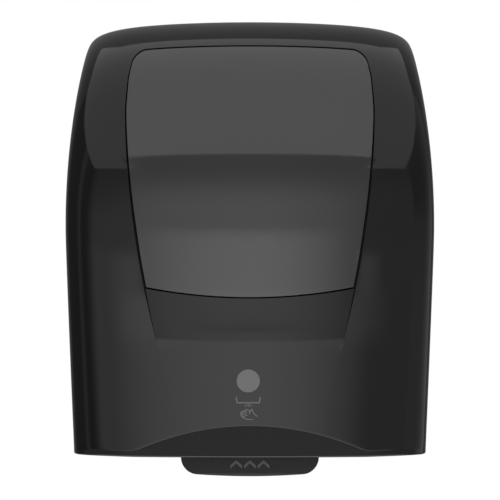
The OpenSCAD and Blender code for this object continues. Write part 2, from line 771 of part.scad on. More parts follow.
// Outline of the push bar from the front: straight sides, round lower corners and a bowed edge
module push_outline() {
  intersection() {
    translate([0, bow_z]) circle(r = push_bow_radius, $fn = 720);
    union() {
      translate([-push_width/2, push_corner_z]) square([push_width, 90]);
      for (x = [-1, 1]) translate([x*push_corner_x, push_corner_z]) circle(r = push_corner);
      polygon([for (x = [-1, 1]) [x*push_corner_x, push_corner_z],
               for (x = [1, -1]) [x*push_corner_x*bow_reach, bow_z + (push_corner_z - bow_z)*bow_reach]]);
    }
  }
}

module push_bar() {
  color("#2b2c2e") placed() difference() {
    intersection() {
      union() {
        rod_x(-push_width/2, push_width/2, lever_y, lever_z, lever_shaft_d/2 + 4);
        along_x(-push_width/2, push_width/2) polygon([
          [lever_y - 7.5, lever_z], [lever_y + 3, lever_z], [lever_y + 2, 4],
          [push_front + push_wall, 3], [push_front + push_wall, -push_drop],
          [push_front + 2.5, -push_drop], [push_front, 2.5 - push_drop],
          [push_front, 3], [lever_y - 7, 12]]);
      }
      along_y(lever_y + 30, lever_y - 30) push_outline();
    }
    rod_x(-push_width, push_width, lever_y, lever_z, lever_shaft_d/2);
  }
}

sector_r = gear_module*sector_teeth/2;
module lever_sector() {
  color("#e4e1d6") placed() along_x(plate_out + 4, plate_out + 11) translate([lever_y, lever_z])
    difference() {
      union() {
        circle(r = lever_shaft_d/2 + 5);
        intersection() {
          wheel(sector_teeth, lever_angle);
          polygon([[0, 0], [60*cos(lever_angle - 34), 60*sin(lever_angle - 34)],
                   [75*cos(lever_angle), 75*sin(lever_angle)],
                   [60*cos(lever_angle + 20), 60*sin(lever_angle + 20)]]);
        }
      }
      circle(r = lever_shaft_d/2);
      rotate(lever_angle - 7) translate([sector_r*0.62, 0]) circle(r = 5);
    }
}

// Torsion spring beside the push bar, as a tube swept along a helix with two legs
spring_r = lever_shaft_d/2 + 1.6;
wire_r = 0.7;
spring_x = push_width/2 + 2;
coil_steps = 12;
coil_turns = 5;
coil_pitch = 1.9;
function coil(k) = let (a = -20 + 360*k/coil_steps)
  [spring_x + coil_pitch*k/coil_steps, lever_y + spring_r*cos(a), lever_z + spring_r*sin(a)];
coil_last = coil_steps*coil_turns;
coil_path = concat(
  [[spring_x, lever_y + spring_r*cos(-20) - 6, lever_z - 26]],
  [for (k = [0:coil_last]) coil(k)],
  [[spring_x + coil_pitch*coil_turns, lever_y + spring_r*cos(-20) + 4, lever_z + 14]]);
function along(k) = unit(coil_path[min(k + 1, len(coil_path) - 1)] - coil_path[max(k - 1, 0)]);
function wire_ring(k) =
  let (t = along(k), n = unit(cross(t, [1, 0.02, 0.01])), b = cross(t, n))
  [for (m = [0:5]) coil_path[k] + wire_r*(cos(60*m)*n + sin(60*m)*b)];
module lever_spring() {
  rings = len(coil_path);
  color("#b0b2b5") placed() polyhedron(
    [for (k = [0:rings - 1]) each wire_ring(k)],
    concat([[for (m = [0:5]) m]],
      [for (k = [0:rings - 2], m = [0:5]) let (a = 6*k + m, b = 6*k + (m + 1)%6)
        each [[a, a + 6, b + 6], [a, b + 6, b]]],
      [[for (m = [5:-1:0]) 6*(rings - 1) + m]]));
}

// Battery box, with the cells in two rows of two
lid_ear = 6;
function cell_z(row) = box_low + 2 + cell_d/2 + row*(cell_d + 0.3);
module battery_box() {
  color("#35373a") placed() translate([box_x, 0, 0]) difference() {
    union() {
      block(-box_out, box_out, box_front, box_rear, box_low, box_top);
      block(-box_out, box_out, box_rear, -plate_wall, box_low, box_low + 8);
      block(-box_out, box_out, box_front, box_rear, tray_top, box_low);
      for (x = [-box_out, box_out - lid_ear])
        block(x, x + lid_ear, lid_y - 3.5, box_rear, box_top - 6, lid_z + 3);
      for (x = [-board_post, board_post], z = [board_low + 6, board_top - 14])
        translate([board_x - box_x + x, box_front + 0.5, z])
          rotate([90, 0, 0]) cylinder(h = 6.5, r = 3);
    }
    block(-box_half, box_half, box_front + 2, box_rear - 2, box_low + 2, box_top + 1);
    rod_x(-box_out - 1, box_out + 1, lid_y, lid_z, 1.5);
  }
}

module battery_cells() {
  color("#5c646e") placed() translate([box_x, 0, 0])
    for (row = [0, 1], x = [-cell_len, 0]) {
      rod_x(x + 0.05, x + cell_len - 2, cell_y, cell_z(row), cell_d/2);
      rod_x(x + cell_len - 2, x + cell_len, cell_y, cell_z(row), 4.8);
    }
}

module battery_contacts() {
  color("#c9cbcd") placed() translate([box_x, 0, 0]) both_sides() union() {
    block(box_half - 1, box_half, cell_y - 9, cell_y + 9, box_low + 2, box_top - 8);
    for (row = [0, 1]) rod_x(cell_len, box_half - 0.5, cell_y, cell_z(row), 4);
  }
}

knuckle_half = box_out - lid_ear - 0.5;
module battery_lid() {
  color("#3f4144") placed() translate([box_x, 0, 0]) difference() {
    union() {
      block(-box_out, box_out, box_front, lid_y - 5.5, box_top + 0.3, box_top + 2.8);
      block(-knuckle_half, knuckle_half, lid_y - 6, lid_y, box_top + 0.6, box_top + 2.8);
      rod_x(-knuckle_half, knuckle_half, lid_y, lid_z, 2.9);
      block(-16, 16, box_front - 2.5, box_front + 1, box_top + 0.3, box_top + 2.8);
    }
    rod_x(-box_out, box_out, lid_y, lid_z, 1.5 + run);
  }
}

module lid_pin() {
  color("#c4c6c8") placed() rod_x(box_x - box_out, box_x + box_out, lid_y, lid_z, 1.5);
}

// Electronics
board_front = box_front - 7.6;
board_half = 52;
board_post = 45;
board_low = 12;
board_top = 66;
module control_board() {
  color("#2f6b3c") placed() translate([board_x, board_front, 0]) union() {
    block(-board_half, board_half, 0, 1.6, board_low, board_top);
    block(-40, -24, -3, 0, board_low + 12, board_low + 28);
    block(20, 42, -9, 0, board_low + 8, board_low + 18);
    translate([-6, 0, board_low + 18]) rotate([90, 0, 0]) cylinder(h = 14, r = 5);
    block(button_x - board_x - 4, button_x - board_x + 4, button_y - board_front - 4, 0,
          board_top - 6, board_top);
  }
}

module feed_button() {
  color("#c43c34") placed() translate([button_x, button_y, 0]) union() {
    translate([0, 0, plate_top - 2]) cylinder(h = 8.5, r = 6);
    translate([0, 0, plate_top - 2]) cylinder(h = 1.7, r = 7.5);
    translate([0, 0, board_top + 3]) cylinder(h = plate_top - board_top - 4, r = 2.2);
  }
}

module sensor_lens() {
  color("#1a1518") placed() translate([0, sensor_y, 0]) union() {
    block(-sensor_half, sensor_half, -6, 6, tray_low, tray_top);
    block(-sensor_half - 3, sensor_half + 3, -9, 9, tray_top, tray_top + 1.4);
  }
}

module sensor_board() {
  color("#2f6b3c") placed() translate([0, sensor_y, 0]) union() {
    block(-sensor_half - 3, sensor_half + 3, -9, 9, tray_top + 6, tray_top + 7.6);
    for (x = [-8, 8]) translate([x, 0, tray_top + 1.4]) cylinder(h = 4.6, r = 2.5);
    both_sides() block(sensor_half + 1, sensor_half + 3, -9, 9, tray_top + 1.4, tray_top + 6);
  }
}

// Roll holder
module arm_outline(root) {
  polygon([[root, roll_z - 26], [root, roll_z + 26], [-roll_y + 10, roll_z + 19], [-roll_y + 10, roll_z - 19]]);
  spot(-roll_y, roll_z, 21);
}

module right_arm() {
  color("#505256") placed() difference() {
    union() {
      along_x(arm_in, arm_out) arm_outline(-plate_wall);
      block(arm_in, arm_out + 10, -plate_wall - 3, -plate_wall, roll_z - 26, roll_z + 26);
      rod_x(arm_in - 13, arm_in, -roll_y, roll_z, 4);
      rod_x(arm_in - 0.8, arm_in, -roll_y, roll_z, 8);
    }
    for (z = [-17, 17]) translate([arm_out + 5, -plate_wall + 1, roll_z + z])
      rotate([90, 0, 0]) cylinder(h = 6, r = 1.6);
  }
}

module arm_screws() {
  color("#b9bbbd") placed() for (z = [-17, 17])
    translate([arm_out + 5, -plate_wall, roll_z + z]) rotate([90, 0, 0]) {
      cylinder(h = 3, r = 1.5);
      translate([0, 0, 3]) cylinder(h = 1.8, r = 3);
    }
}

// Plug with its face inward at x 0 and its open end against the arm
module core_plug() {
  color("#d7d4ca") difference() {
    rotate([0, 90, 0]) rotate_extrude() polygon([
      [0, 0], [core_d/2 - 5, 0], [core_d/2 - 2.6, 1.6], [core_d/2 - 1, 11], [core_d/2 + 2, 11],
      [core_d/2 + 2, 13.9], [0, 13.9]]);
    rod_x(1.6, 15, 0, 0, 4 + run);
  }
}

module right_core_plug() {
  placed() translate([arm_in - 15, -roll_y, roll_z]) core_plug();
}

module arm_bracket() {
  color("#505256") placed() difference() {
    union() {
      block(arm_pin_x - 8, arm_pin_x + 8, -plate_wall - 3, -plate_wall, roll_z - 26, roll_z + 26);
      for (z = [roll_z - 26, roll_z + 20]) {
        translate([arm_pin_x, arm_pin_y, z]) cylinder(h = 6, r = 5.5);
        block(arm_pin_x - 5.5, arm_pin_x + 5.5, arm_pin_y, -plate_wall, z, z + 6);
      }
    }
    translate([arm_pin_x, arm_pin_y, roll_z - 30]) cylinder(h = 60, r = 2.5);
  }
}

module arm_pin() {
  color("#c4c6c8") placed() translate([arm_pin_x, arm_pin_y, roll_z - 27]) cylinder(h = 54, r = 2.5);
}

module left_arm() {
  color("#505256") placed() difference() {
    union() {
      intersection() {
        along_x(-arm_out, -arm_in) arm_outline(arm_pin_y);
        block(-arm_out - 1, -arm_in + 1, -roll_y - 30, arm_pin_y, roll_z - 40, roll_z + 40);
      }
      translate([arm_pin_x, arm_pin_y, roll_z - 19.6]) cylinder(h = 39.2, r = 5.5);
      rod_x(-arm_in, -arm_in + 13, -roll_y, roll_z, 4);
      rod_x(-arm_in, -arm_in + 0.8, -roll_y, roll_z, 8);
    }
    translate([arm_pin_x, arm_pin_y, roll_z - 30]) cylinder(h = 60, r = 2.5 + run);
    block(-arm_out - 9, -arm_in + 9, arm_pin_y - 7, arm_pin_y + 9, roll_z + 19.6, roll_z + 40);
    block(-arm_out - 9, -arm_in + 9, arm_pin_y - 7, arm_pin_y + 9, roll_z - 40, roll_z - 19.6);
  }
}

module left_core_plug() {
  placed() translate([-arm_in + 15, -roll_y, roll_z]) mirror([1, 0, 0]) core_plug();
}

front_cover();
window_pane();
cover_hinge_lugs();
lock_housing();
lock_barrel();
lock_cam();
latch_keeper();
back_plate();
base_tray();
hinge_pins();
tray_screws();
left_side_plate();
right_side_plate();
roller_bushes();
lever_bushes();
chute_front();
chute_rear();
tear_bar();
guide_bar();
module_cover();
drive_shaft();
drive_sleeve();
drive_gear();
one_way_bearing();
clutch_pinion();
pinch_shaft();
pinch_sleeve();
motor();
motor_pinion();
idler_gear();
idler_pin();
gear_cover();
gear_cover_screws();
lever_shaft();
push_bar();
lever_sector();
lever_spring();
battery_box();
battery_cells();
battery_contacts();
battery_lid();
lid_pin();
control_board();
feed_button();
sensor_lens();
sensor_board();
right_arm();
arm_screws();
right_core_plug();
arm_bracket();
arm_pin();
left_arm();
left_core_plug();
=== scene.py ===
import json
import math

import bmesh
import bpy
from mathutils import Matrix, Vector


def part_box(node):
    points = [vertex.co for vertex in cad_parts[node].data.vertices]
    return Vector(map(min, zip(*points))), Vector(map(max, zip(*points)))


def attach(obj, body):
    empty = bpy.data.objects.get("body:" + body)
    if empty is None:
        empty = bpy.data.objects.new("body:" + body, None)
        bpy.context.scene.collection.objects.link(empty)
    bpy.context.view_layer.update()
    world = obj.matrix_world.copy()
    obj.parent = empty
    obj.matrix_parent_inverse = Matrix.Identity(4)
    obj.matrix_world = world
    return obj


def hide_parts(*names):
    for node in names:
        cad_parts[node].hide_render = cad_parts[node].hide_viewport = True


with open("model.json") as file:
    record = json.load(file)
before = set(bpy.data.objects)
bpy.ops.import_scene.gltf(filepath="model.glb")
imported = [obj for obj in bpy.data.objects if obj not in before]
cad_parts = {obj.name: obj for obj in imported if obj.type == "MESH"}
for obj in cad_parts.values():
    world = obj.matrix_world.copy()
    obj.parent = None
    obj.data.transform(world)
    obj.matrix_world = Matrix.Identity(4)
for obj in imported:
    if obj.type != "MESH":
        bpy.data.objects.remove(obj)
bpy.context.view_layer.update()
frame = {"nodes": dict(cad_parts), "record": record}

# Wall plate
# A flat moulding of charcoal ABS with a rim flange, two ribs and four screw bosses.
# Its face is spark-eroded to a fine grain, and four screws hold it to the wall.
MM = 0.001
NOISE_LOW, NOISE_HIGH = 0.3, 0.7
body_of_node = {n: b for b, nodes in frame["record"]["behaviour"]["bodies"].items() for n in nodes}


def linear(hex_colour):
    parts = [int(hex_colour[k:k + 2], 16) / 255 for k in (1, 3, 5)]
    return [p / 12.92 if p <= 0.04045 else ((p + 0.055) / 1.055) ** 2.4 for p in parts] + [1.0]


def add(tree, kind, inputs=(), **settings):
    """A new node with its settings, and its inputs as values or as links."""
    node = tree.nodes.new("ShaderNode" + kind)
    for name, value in settings.items():
        setattr(node, name, value)
    for name, value in dict(inputs).items():
        if isinstance(value, bpy.types.NodeSocket):
            tree.links.new(value, node.inputs[name])
        else:
            node.inputs[name].default_value = value
    return node


def blank_material(name):
    material = bpy.data.materials.new(name)
    material.use_nodes = True
    material.node_tree.nodes.clear()
    return material, material.node_tree


def speckled(name, tint, rough=None, dent=None, stretch=None, **sockets):
    """A finish whose colour, roughness and dents each follow noise in patches of a real size.

    tint is a dark and a light colour, rough the lowest and the highest roughness, and dent a depth in mm.
    Each ends with the size of its patches in mm and their detail. A stretch below 1 lengthens the patches
    along that axis.
    """
    material, tree = blank_material(name)
    shader = add(tree, "BsdfPrincipled", {key.replace("_", " "): value for key, value in sockets.items()})
    add(tree, "OutputMaterial", {"Surface": shader.outputs["BSDF"]})
    place = add(tree, "TexCoord").outputs["Object"]
    if stretch:
        place = add(tree, "Mapping", {"Vector": place, "Scale": stretch}).outputs["Vector"]
    for socket, values in (("Base Color", tint), ("Roughness", rough), ("Normal", dent)):
        if not values:
            continue
        *ends, patch_mm, detail = values
        noise = add(tree, "TexNoise", {"Vector": place, "Scale": 1 / (patch_mm * MM), "Detail": detail})
        spots = noise.outputs["Fac"]
        if socket == "Base Color":
            dark, light = [linear(colour) for colour in ends]
            varied = add(tree, "Mix", {0: spots, 6: dark, 7: light}, data_type="RGBA").outputs[2]
        elif socket == "Roughness":
            limits = {"From Min": NOISE_LOW, "From Max": NOISE_HIGH, "To Min": ends[0], "To Max": ends[1]}
            varied = add(tree, "MapRange", {"Value": spots, **limits}).outputs["Result"]
        else:
            dents = {"Height": spots, "Strength": 1.0, "Distance": ends[0] * MM}
            varied = add(tree, "Bump", dents).outputs["Normal"]
        tree.links.new(varied, shader.inputs[socket])
    return material


def grained_abs(name, dark, light):
    # Moulded ABS with a spark-eroded grain: soft broad highlights that break up close by.
    # The real grain is about 0.3 mm and is drawn at 0.9 mm, so that it shows in the render.
    return speckled(name, (dark, light, 30, 3), (0.42, 0.6, 0.9, 2), (0.05, 0.9, 2), IOR=1.53)


def as_object(name, bm, material):
    mesh = bpy.data.meshes.new(name)
    bm.to_mesh(mesh)
    bm.free()
    mesh.materials.append(material)
    piece = bpy.data.objects.new(name, mesh)
    bpy.context.scene.collection.objects.link(piece)
    return piece


def finished(name, bm, material, nodes, body=None, crease=38, hard=()):
    """The bmesh as an object that rides with the body of the nodes it stands for."""
    bm.normal_update()
    for face in bm.faces:
        face.smooth = True
    for edge in bm.edges:
        edge.smooth = edge not in hard and edge.calc_face_angle(0.0) < math.radians(crease)
    piece = as_object(name, bm, material)
    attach(piece, body or body_of_node[nodes[0]])
    if nodes:
        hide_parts(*nodes)
    return piece


def rounded(bm, edges, radius_mm, steps=2):
    bmesh.ops.bevel(bm, geom=edges, offset=radius_mm * MM, segments=steps, profile=0.5,
                    affect="EDGES", clamp_overlap=True, material=-1)


def softened(name, node, edge_mm, material, turn=30):
    """A copy of a CAD node with its sharp edges rounded."""
    bm = bmesh.new()
    bm.from_mesh(frame["nodes"][node].data)
    bmesh.ops.remove_doubles(bm, verts=bm.verts, dist=1e-6)
    bmesh.ops.dissolve_limit(bm, angle_limit=math.radians(0.5), verts=bm.verts, edges=bm.edges)
    edges = [e for e in bm.edges if e.is_manifold and e.calc_face_angle() > math.radians(turn)]
    rounded(bm, edges, edge_mm)
    piece = finished(name, bm, material, [node])
    # The wide faces decide the shading, so that they stay flat between their rounded edges.
    weighted = piece.modifiers.new("flat_faces", "WEIGHTED_NORMAL")
    weighted.keep_sharp = True
    weighted.weight = 80


housing_abs = grained_abs("charcoal_abs_grained", "#26272a", "#313236")
softened("wall_plate_moulding", "back_plate", 0.6, housing_abs)

# Base tray
# The floor of the dispenser, an ABS moulding with the towel slot, the sensor opening and the hinge ears.
# Four screws from below hold it under the side plates of the feed module.
softened("base_tray_moulding", "base_tray", 0.5, housing_abs)

# Screws and pins
# Bright zinc-plated steel: pan-head screws, drawn hinge pins and the formed keeper of the lock.
# Plating leaves a faint cloudiness, and the drawn pins have fine lines along them.
LINE_STRETCH = 0.02


def drawn_steel(name, along):
    # Cold-drawn rod: bright lines run along it. They are drawn 0.4 mm apart, coarser than the real ones.
    stretch = [LINE_STRETCH if axis == along else 1.0 for axis in "XYZ"]
    return speckled(name, ("#9b9da0", "#c9cbcd", 0.4, 2), (0.18, 0.34, 0.4, 2), (0.01, 0.4, 2), stretch,
                    Metallic=1.0)


# Zinc plate over steel: a bright metal with cloudy patches about 4 mm across.
screw_plate = speckled("zinc_plated_steel", ("#8f9194", "#c3c5c8", 4, 3), (0.24, 0.38, 1.5, 3),
                       Metallic=1.0)
rod_steel = drawn_steel("drawn_steel_rod", "X")
for node in ("tray_screws", "gear_cover_screws", "arm_screws"):
    softened(node + "_heads", node, 0.4, screw_plate)
softened("cover_hinge_pin_pair", "hinge_pins", 0.4, rod_steel)
softened("lock_keeper_strap", "latch_keeper", 0.5, screw_plate)

# Side plates and bushes
# Two plates of glass-filled nylon carry the shafts of the feed module in pressed acetal bushes.
# Glass fibres leave the nylon dull, with short pale streaks that follow the flow in the mould.
FLOW_STRETCH = (1.0, 0.25, 1.0)
# Moulded nylon with glass, dull and streaked. The fibres are about 0.3 mm long.
# They are drawn as streaks of 3 mm, so that they show.
frame_nylon = speckled("glass_filled_nylon", ("#45474b", "#5b5d61", 0.8, 3), (0.45, 0.65, 0.8, 3),
                       (0.03, 0.8, 3), FLOW_STRETCH, IOR=1.53)
# Natural acetal: milky, a little waxy, with faint flow marks about 6 mm across.
gear_acetal = speckled("natural_acetal", ("#d6d2c5", "#e8e5da", 6, 3), (0.3, 0.42, 6, 3), IOR=1.48,
                       Subsurface_Weight=0.12, Subsurface_Radius=(1.0, 0.9, 0.7),
                       Subsurface_Scale=1.5 * MM)
for side in ("left", "right"):
    softened(side + "_side_plate_moulding", side + "_side_plate", 0.6, frame_nylon)
for kind in ("roller", "lever"):
    softened(kind + "_bush_set", kind + "_bushes", 0.3, gear_acetal)

# Chute, tear bar and covers of the feed module
# ABS guides lead the towel down past a stamped stainless blade, and two ABS covers close the module.
# The blade and the guide bar are bright, with fine lines along them.
for guide in ("chute_front", "chute_rear"):
    softened(guide + "_moulding", guide, 0.4, housing_abs)
softened("module_cover_moulding", "module_cover", 0.7, housing_abs)
softened("gear_cover_moulding", "gear_cover", 1.0, housing_abs)
softened("tear_blade", "tear_bar", 0.12, rod_steel)
softened("towel_guide_bar", "guide_bar", 0.4, rod_steel)

# Drive roller
# A ground steel shaft carries a rubber sleeve with grip grooves, an acetal gear and a one-way clutch.
# The sleeve is ground after moulding, which leaves it dull, with fine rings around it.
RING_PITCH, RING_DEPTH = 2.0, 0.03
GROOVE_SHAPE = ((-1.6, 0.0), (-1.0, 0.25), (-0.6, 1.0), (0.6, 1.0), (1.0, 0.25), (1.6, 0.0))


def turned(profile, centre, steps=72):
    """A lathe piece: (x, radius) points spun about the X axis through centre, closed on itself."""
    bm = bmesh.new()
    ring = [bm.verts.new((x, centre.y + radius, centre.z)) for x, radius in profile]
    edges = [bm.edges.new(pair) for pair in zip(ring, ring[1:] + ring[:1])]
    bmesh.ops.spin(bm, geom=ring + edges, axis=(1, 0, 0), cent=centre, angle=2 * math.pi, steps=steps,
                   use_merge=True)
    bmesh.ops.remove_doubles(bm, verts=bm.verts, dist=1e-7)
    bmesh.ops.dissolve_degenerate(bm, edges=bm.edges, dist=1e-7)
    bmesh.ops.recalc_face_normals(bm, faces=bm.faces)
    return bm


def nodes_of(material):
    """The tree of a finish, its shader and its Object coordinates."""
    tree = material.node_tree
    return tree, tree.nodes["Principled BSDF"], tree.nodes["Texture Coordinate"].outputs["Object"]


def ground_rubber(name):
    # Ground nitrile rubber: almost black, dull, with paper dust in clouds about 12 mm across.
    # The grinding rings are drawn 2 mm apart, so that they show. A wave at scale 1 repeats after pi / 10.
    material = speckled(name, ("#1a1a1b", "#2c2b2a", 12, 3), (0.6, 0.8, 12, 3), IOR=1.52)
    tree, shader, place = nodes_of(material)
    bands = {"Vector": place, "Scale": math.pi / 10 / (RING_PITCH * MM), "Distortion": 0.6}
    rings = add(tree, "TexWave", bands, wave_type="BANDS", bands_direction="X").outputs["Fac"]
    dents = add(tree, "Bump", {"Height": rings, "Strength": 1.0, "Distance": RING_DEPTH * MM})
    tree.links.new(dents.outputs["Normal"], shader.inputs["Normal"])
    return material


def axle_of(node):
    """The left and right end of a round node, its middle and its radius."""
    low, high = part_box(node)
    return low.x, high.x, (low + high) / 2, (high.z - low.z) / 2


def sleeve(name, node, bore_mm, groove_pitch_mm, groove_mm, material):
    """A roller sleeve with round-edged grooves all along it."""
    left, right, centre, radius = axle_of(node)
    groove = groove_mm * MM
    count = int((right - left) / (groove_pitch_mm * MM)) - 1
    pitch = (right - left) / (count + 1)
    profile = [(left, bore_mm * MM), (left, radius - groove), (left + groove, radius)]
    for k in range(1, count + 1):
        x = left + k * pitch
        for step, depth in GROOVE_SHAPE:
            profile.append((x + step * groove, radius - depth * groove))
    profile += [(right - groove, radius), (right, radius - groove), (right, bore_mm * MM)]
    finished(name, turned(profile, centre), material, [node])


def shaft(name, node, material, chamfer_mm=0.8):
    """A turned shaft with chamfered ends."""
    left, right, centre, radius = axle_of(node)
    cut = chamfer_mm * MM
    profile = [(left, 0.0), (left, radius - cut), (left + cut, radius),
               (right - cut, radius), (right, radius - cut), (right, 0.0)]
    finished(name, turned(profile, centre), material, [node])


roller_rubber = ground_rubber("ground_nitrile_rubber")
sleeve("drive_roller_sleeve", "drive_sleeve", 4.0, 14, 1.0, roller_rubber)
shaft("drive_roller_shaft", "drive_shaft", rod_steel)
softened("drive_gear_wheel", "drive_gear", 0.12, gear_acetal, 40)
softened("one_way_clutch_shell", "one_way_bearing", 0.4, screw_plate)
softened("clutch_pinion_wheel", "clutch_pinion", 0.1, gear_acetal, 40)

# Pinch roller
# A thinner rubber-sleeved roller that presses the towel against the drive roller.
# It turns with it, in its own pair of bushes.
sleeve("pinch_roller_sleeve", "pinch_sleeve", 3.0, 20, 0.8, roller_rubber)
shaft("pinch_roller_shaft", "pinch_shaft", rod_steel, 0.6)

# Motor and gear train
# A small DC motor with a drawn steel can drives the roller through a brass pinion and an acetal idler.
# The can has a rolled front edge and a crimped line, and two tinned terminals at its rear.
CAN_LENGTH, CAN_EDGE, CRIMP_BACK, CRIMP_HALF, CRIMP_DEPTH = 48, 1.2, 7.6, 0.4, 0.3
BOSS_RADIUS, BOSS_LENGTH, BOSS_EDGE = 5, 3, 0.6
TERMINAL_SIZE, TERMINAL_HALF_PITCH = (5, 3, 0.8), 7


def motor_can():
    left, _, centre, radius = axle_of("motor")
    can_end = left + CAN_LENGTH * MM
    edge = CAN_EDGE * MM
    crimp = can_end - CRIMP_BACK * MM
    boss = BOSS_RADIUS * MM
    boss_end = can_end + BOSS_LENGTH * MM
    profile = [(left, 0.0), (left, radius - 2 * edge),
               (left + edge * 0.6, radius - edge * 0.5), (left + edge * 1.6, radius),
               (crimp - CRIMP_HALF * MM, radius), (crimp, radius - CRIMP_DEPTH * MM),
               (crimp + CRIMP_HALF * MM, radius), (can_end - edge, radius), (can_end, radius - edge),
               (can_end, boss), (boss_end - BOSS_EDGE * MM, boss), (boss_end, boss - BOSS_EDGE * MM),
               (boss_end, 0.0)]
    bm = turned(profile, centre)
    for side in (-1, 1):
        blade = bmesh.ops.create_cube(bm, size=1.0)["verts"]
        bmesh.ops.scale(bm, verts=blade, vec=Vector(TERMINAL_SIZE) * MM)
        middle = Vector((can_end + TERMINAL_SIZE[0] / 2 * MM, centre.y,
                         centre.z + side * TERMINAL_HALF_PITCH * MM))
        bmesh.ops.translate(bm, verts=blade, vec=middle)
    return bm


# Cut brass: warm metal with turning lines drawn 0.5 mm apart.
pinion_brass = speckled("cut_brass", ("#a8823a", "#d0ad61", 0.5, 2), (0.2, 0.36, 0.5, 2), Metallic=1.0)
finished("feed_motor_can", motor_can(), screw_plate, ["motor"])
softened("motor_pinion_wheel", "motor_pinion", 0.08, pinion_brass, 40)
softened("idler_gear_wheel", "idler_gear", 0.1, gear_acetal, 40)
shaft("idler_gear_pin", "idler_pin", rod_steel, 0.5)

# Push lever
# An ABS bar on a steel shaft, with a toothed acetal sector that turns the roller by hand.
# The bar is charcoal like the cover but satin, so that it grips, and a wound steel spring returns it.
shaft("push_lever_shaft", "lever_shaft", rod_steel)
softened("push_lever_bar", "push_bar", 1.4, grained_abs("charcoal_abs_satin", "#141415", "#161617"))
softened("push_lever_sector", "lever_sector", 0.1, gear_acetal, 40)
spring_steel = drawn_steel("patented_spring_wire", "Y")
softened("push_lever_spring", "lever_spring", 0.05, spring_steel, 80)

# Grip mark on the push bar
# Three raised chevrons, hot-stamped in dim grey in the middle of the bar's face.
# They show where to press.
CHEVRON_PITCH, CHEVRON_Z, INK_DEPTH, BAR_INK_PROUD = 11, -190, 0.3, 0.12
CHEVRON = ((-4.6, -9.6), (0, -5.4), (4.6, -9.6), (4.6, -7.0), (0, -2.8), (-4.6, -7.0))


def raised(bm, thickness):
    """Gives flat faces that look along -Y a thickness towards the rear."""
    bmesh.ops.recalc_face_normals(bm, faces=bm.faces)
    turned_back = [f for f in bm.faces if f.normal.y > 0]
    bmesh.ops.reverse_faces(bm, faces=turned_back)
    grown = bmesh.ops.extrude_face_region(bm, geom=bm.faces[:], use_keep_orig=True)
    moved = [v for v in grown["geom"] if isinstance(v, bmesh.types.BMVert)]
    bmesh.ops.translate(bm, verts=moved, vec=(0, thickness, 0))
    bmesh.ops.recalc_face_normals(bm, faces=bm.faces)


def stamped_ink(name, dark, light):
    # Stamped ink: a thin flat grey film, a little uneven where it took, in patches about 2 mm across.
    return speckled(name, (dark, light, 2, 3), (0.35, 0.5, 2, 3), IOR=1.5)


dim_ink = stamped_ink("dim_grey_ink", "#505152", "#585959")
bar_verts = frame["nodes"]["push_bar"].data.vertices
bar_face = min(v.co.y for v in bar_verts if v.co.z < CHEVRON_Z * MM)
mark = bmesh.new()
for step in (-1, 0, 1):
    tips = [((step * CHEVRON_PITCH + across) * MM, 0, up * MM) for across, up in CHEVRON]
    mark.faces.new([mark.verts.new(tip) for tip in tips])
raised(mark, INK_DEPTH * MM)
bmesh.ops.translate(mark, verts=mark.verts, vec=(0, bar_face - BAR_INK_PROUD * MM, CHEVRON_Z * MM))
finished("push_bar_chevrons", mark, dim_ink, [], "push_lever")

# Batteries
# Four D cells lie in two rows in an ABS box behind the feed module, under a hinged lid.
# Each steel can wears a printed film jacket, plain here, with a copper-coloured band at one end.
BAND_START = 0.7


def cell_jackets(name, start, length):
    # Printed film on a steel can: satin, dark, with one band to each cell length.
    # The film clouds in patches of 15 mm, and the band in patches of 5 mm.
    material = speckled(name, ("#2c3036", "#363b42", 15, 3), (0.25, 0.4, 3, 3), IOR=1.5,
                        Coat_Weight=0.6, Coat_Roughness=0.12)
    tree, shader, place = nodes_of(material)
    x = add(tree, "SeparateXYZ", {"Vector": place}).outputs["X"]
    along = add(tree, "Math", {0: x, 1: -start}, operation="ADD").outputs["Value"]
    cells = add(tree, "Math", {0: along, 1: 1 / length}, operation="MULTIPLY").outputs["Value"]
    share = add(tree, "Math", {0: cells}, operation="FRACT").outputs["Value"]
    band = add(tree, "Math", {0: share, 1: BAND_START}, operation="GREATER_THAN").outputs["Value"]
    spots = add(tree, "TexNoise", {"Vector": place, "Scale": 1 / (5 * MM), "Detail": 3}).outputs["Fac"]
    tones = {0: spots, 6: linear("#8d6238"), 7: linear("#a37546")}
    copper = add(tree, "Mix", tones, data_type="RGBA").outputs[2]
    film = shader.inputs["Base Color"].links[0].from_socket
    both = add(tree, "Mix", {0: band, 6: film, 7: copper}, data_type="RGBA").outputs[2]
    tree.links.new(both, shader.inputs["Base Color"])
    return material


cells_low, cells_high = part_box("battery_cells")
jacket = cell_jackets("cell_film_jacket", cells_low.x, (cells_high.x - cells_low.x) / 2)
softened("battery_box_moulding", "battery_box", 0.5, housing_abs)
softened("battery_cell_set", "battery_cells", 0.9, jacket)
softened("battery_contact_springs", "battery_contacts", 0.2, screw_plate)
softened("battery_lid_moulding", "battery_lid", 0.5, housing_abs)
shaft("battery_lid_pin", "lid_pin", rod_steel, 0.4)

# Control board, sensor and feed button
# Two green circuit boards, a dark infrared window in the tray and a red button on the module cover.
# Solder mask lies over the copper tracks, and the parts stand proud of the board.


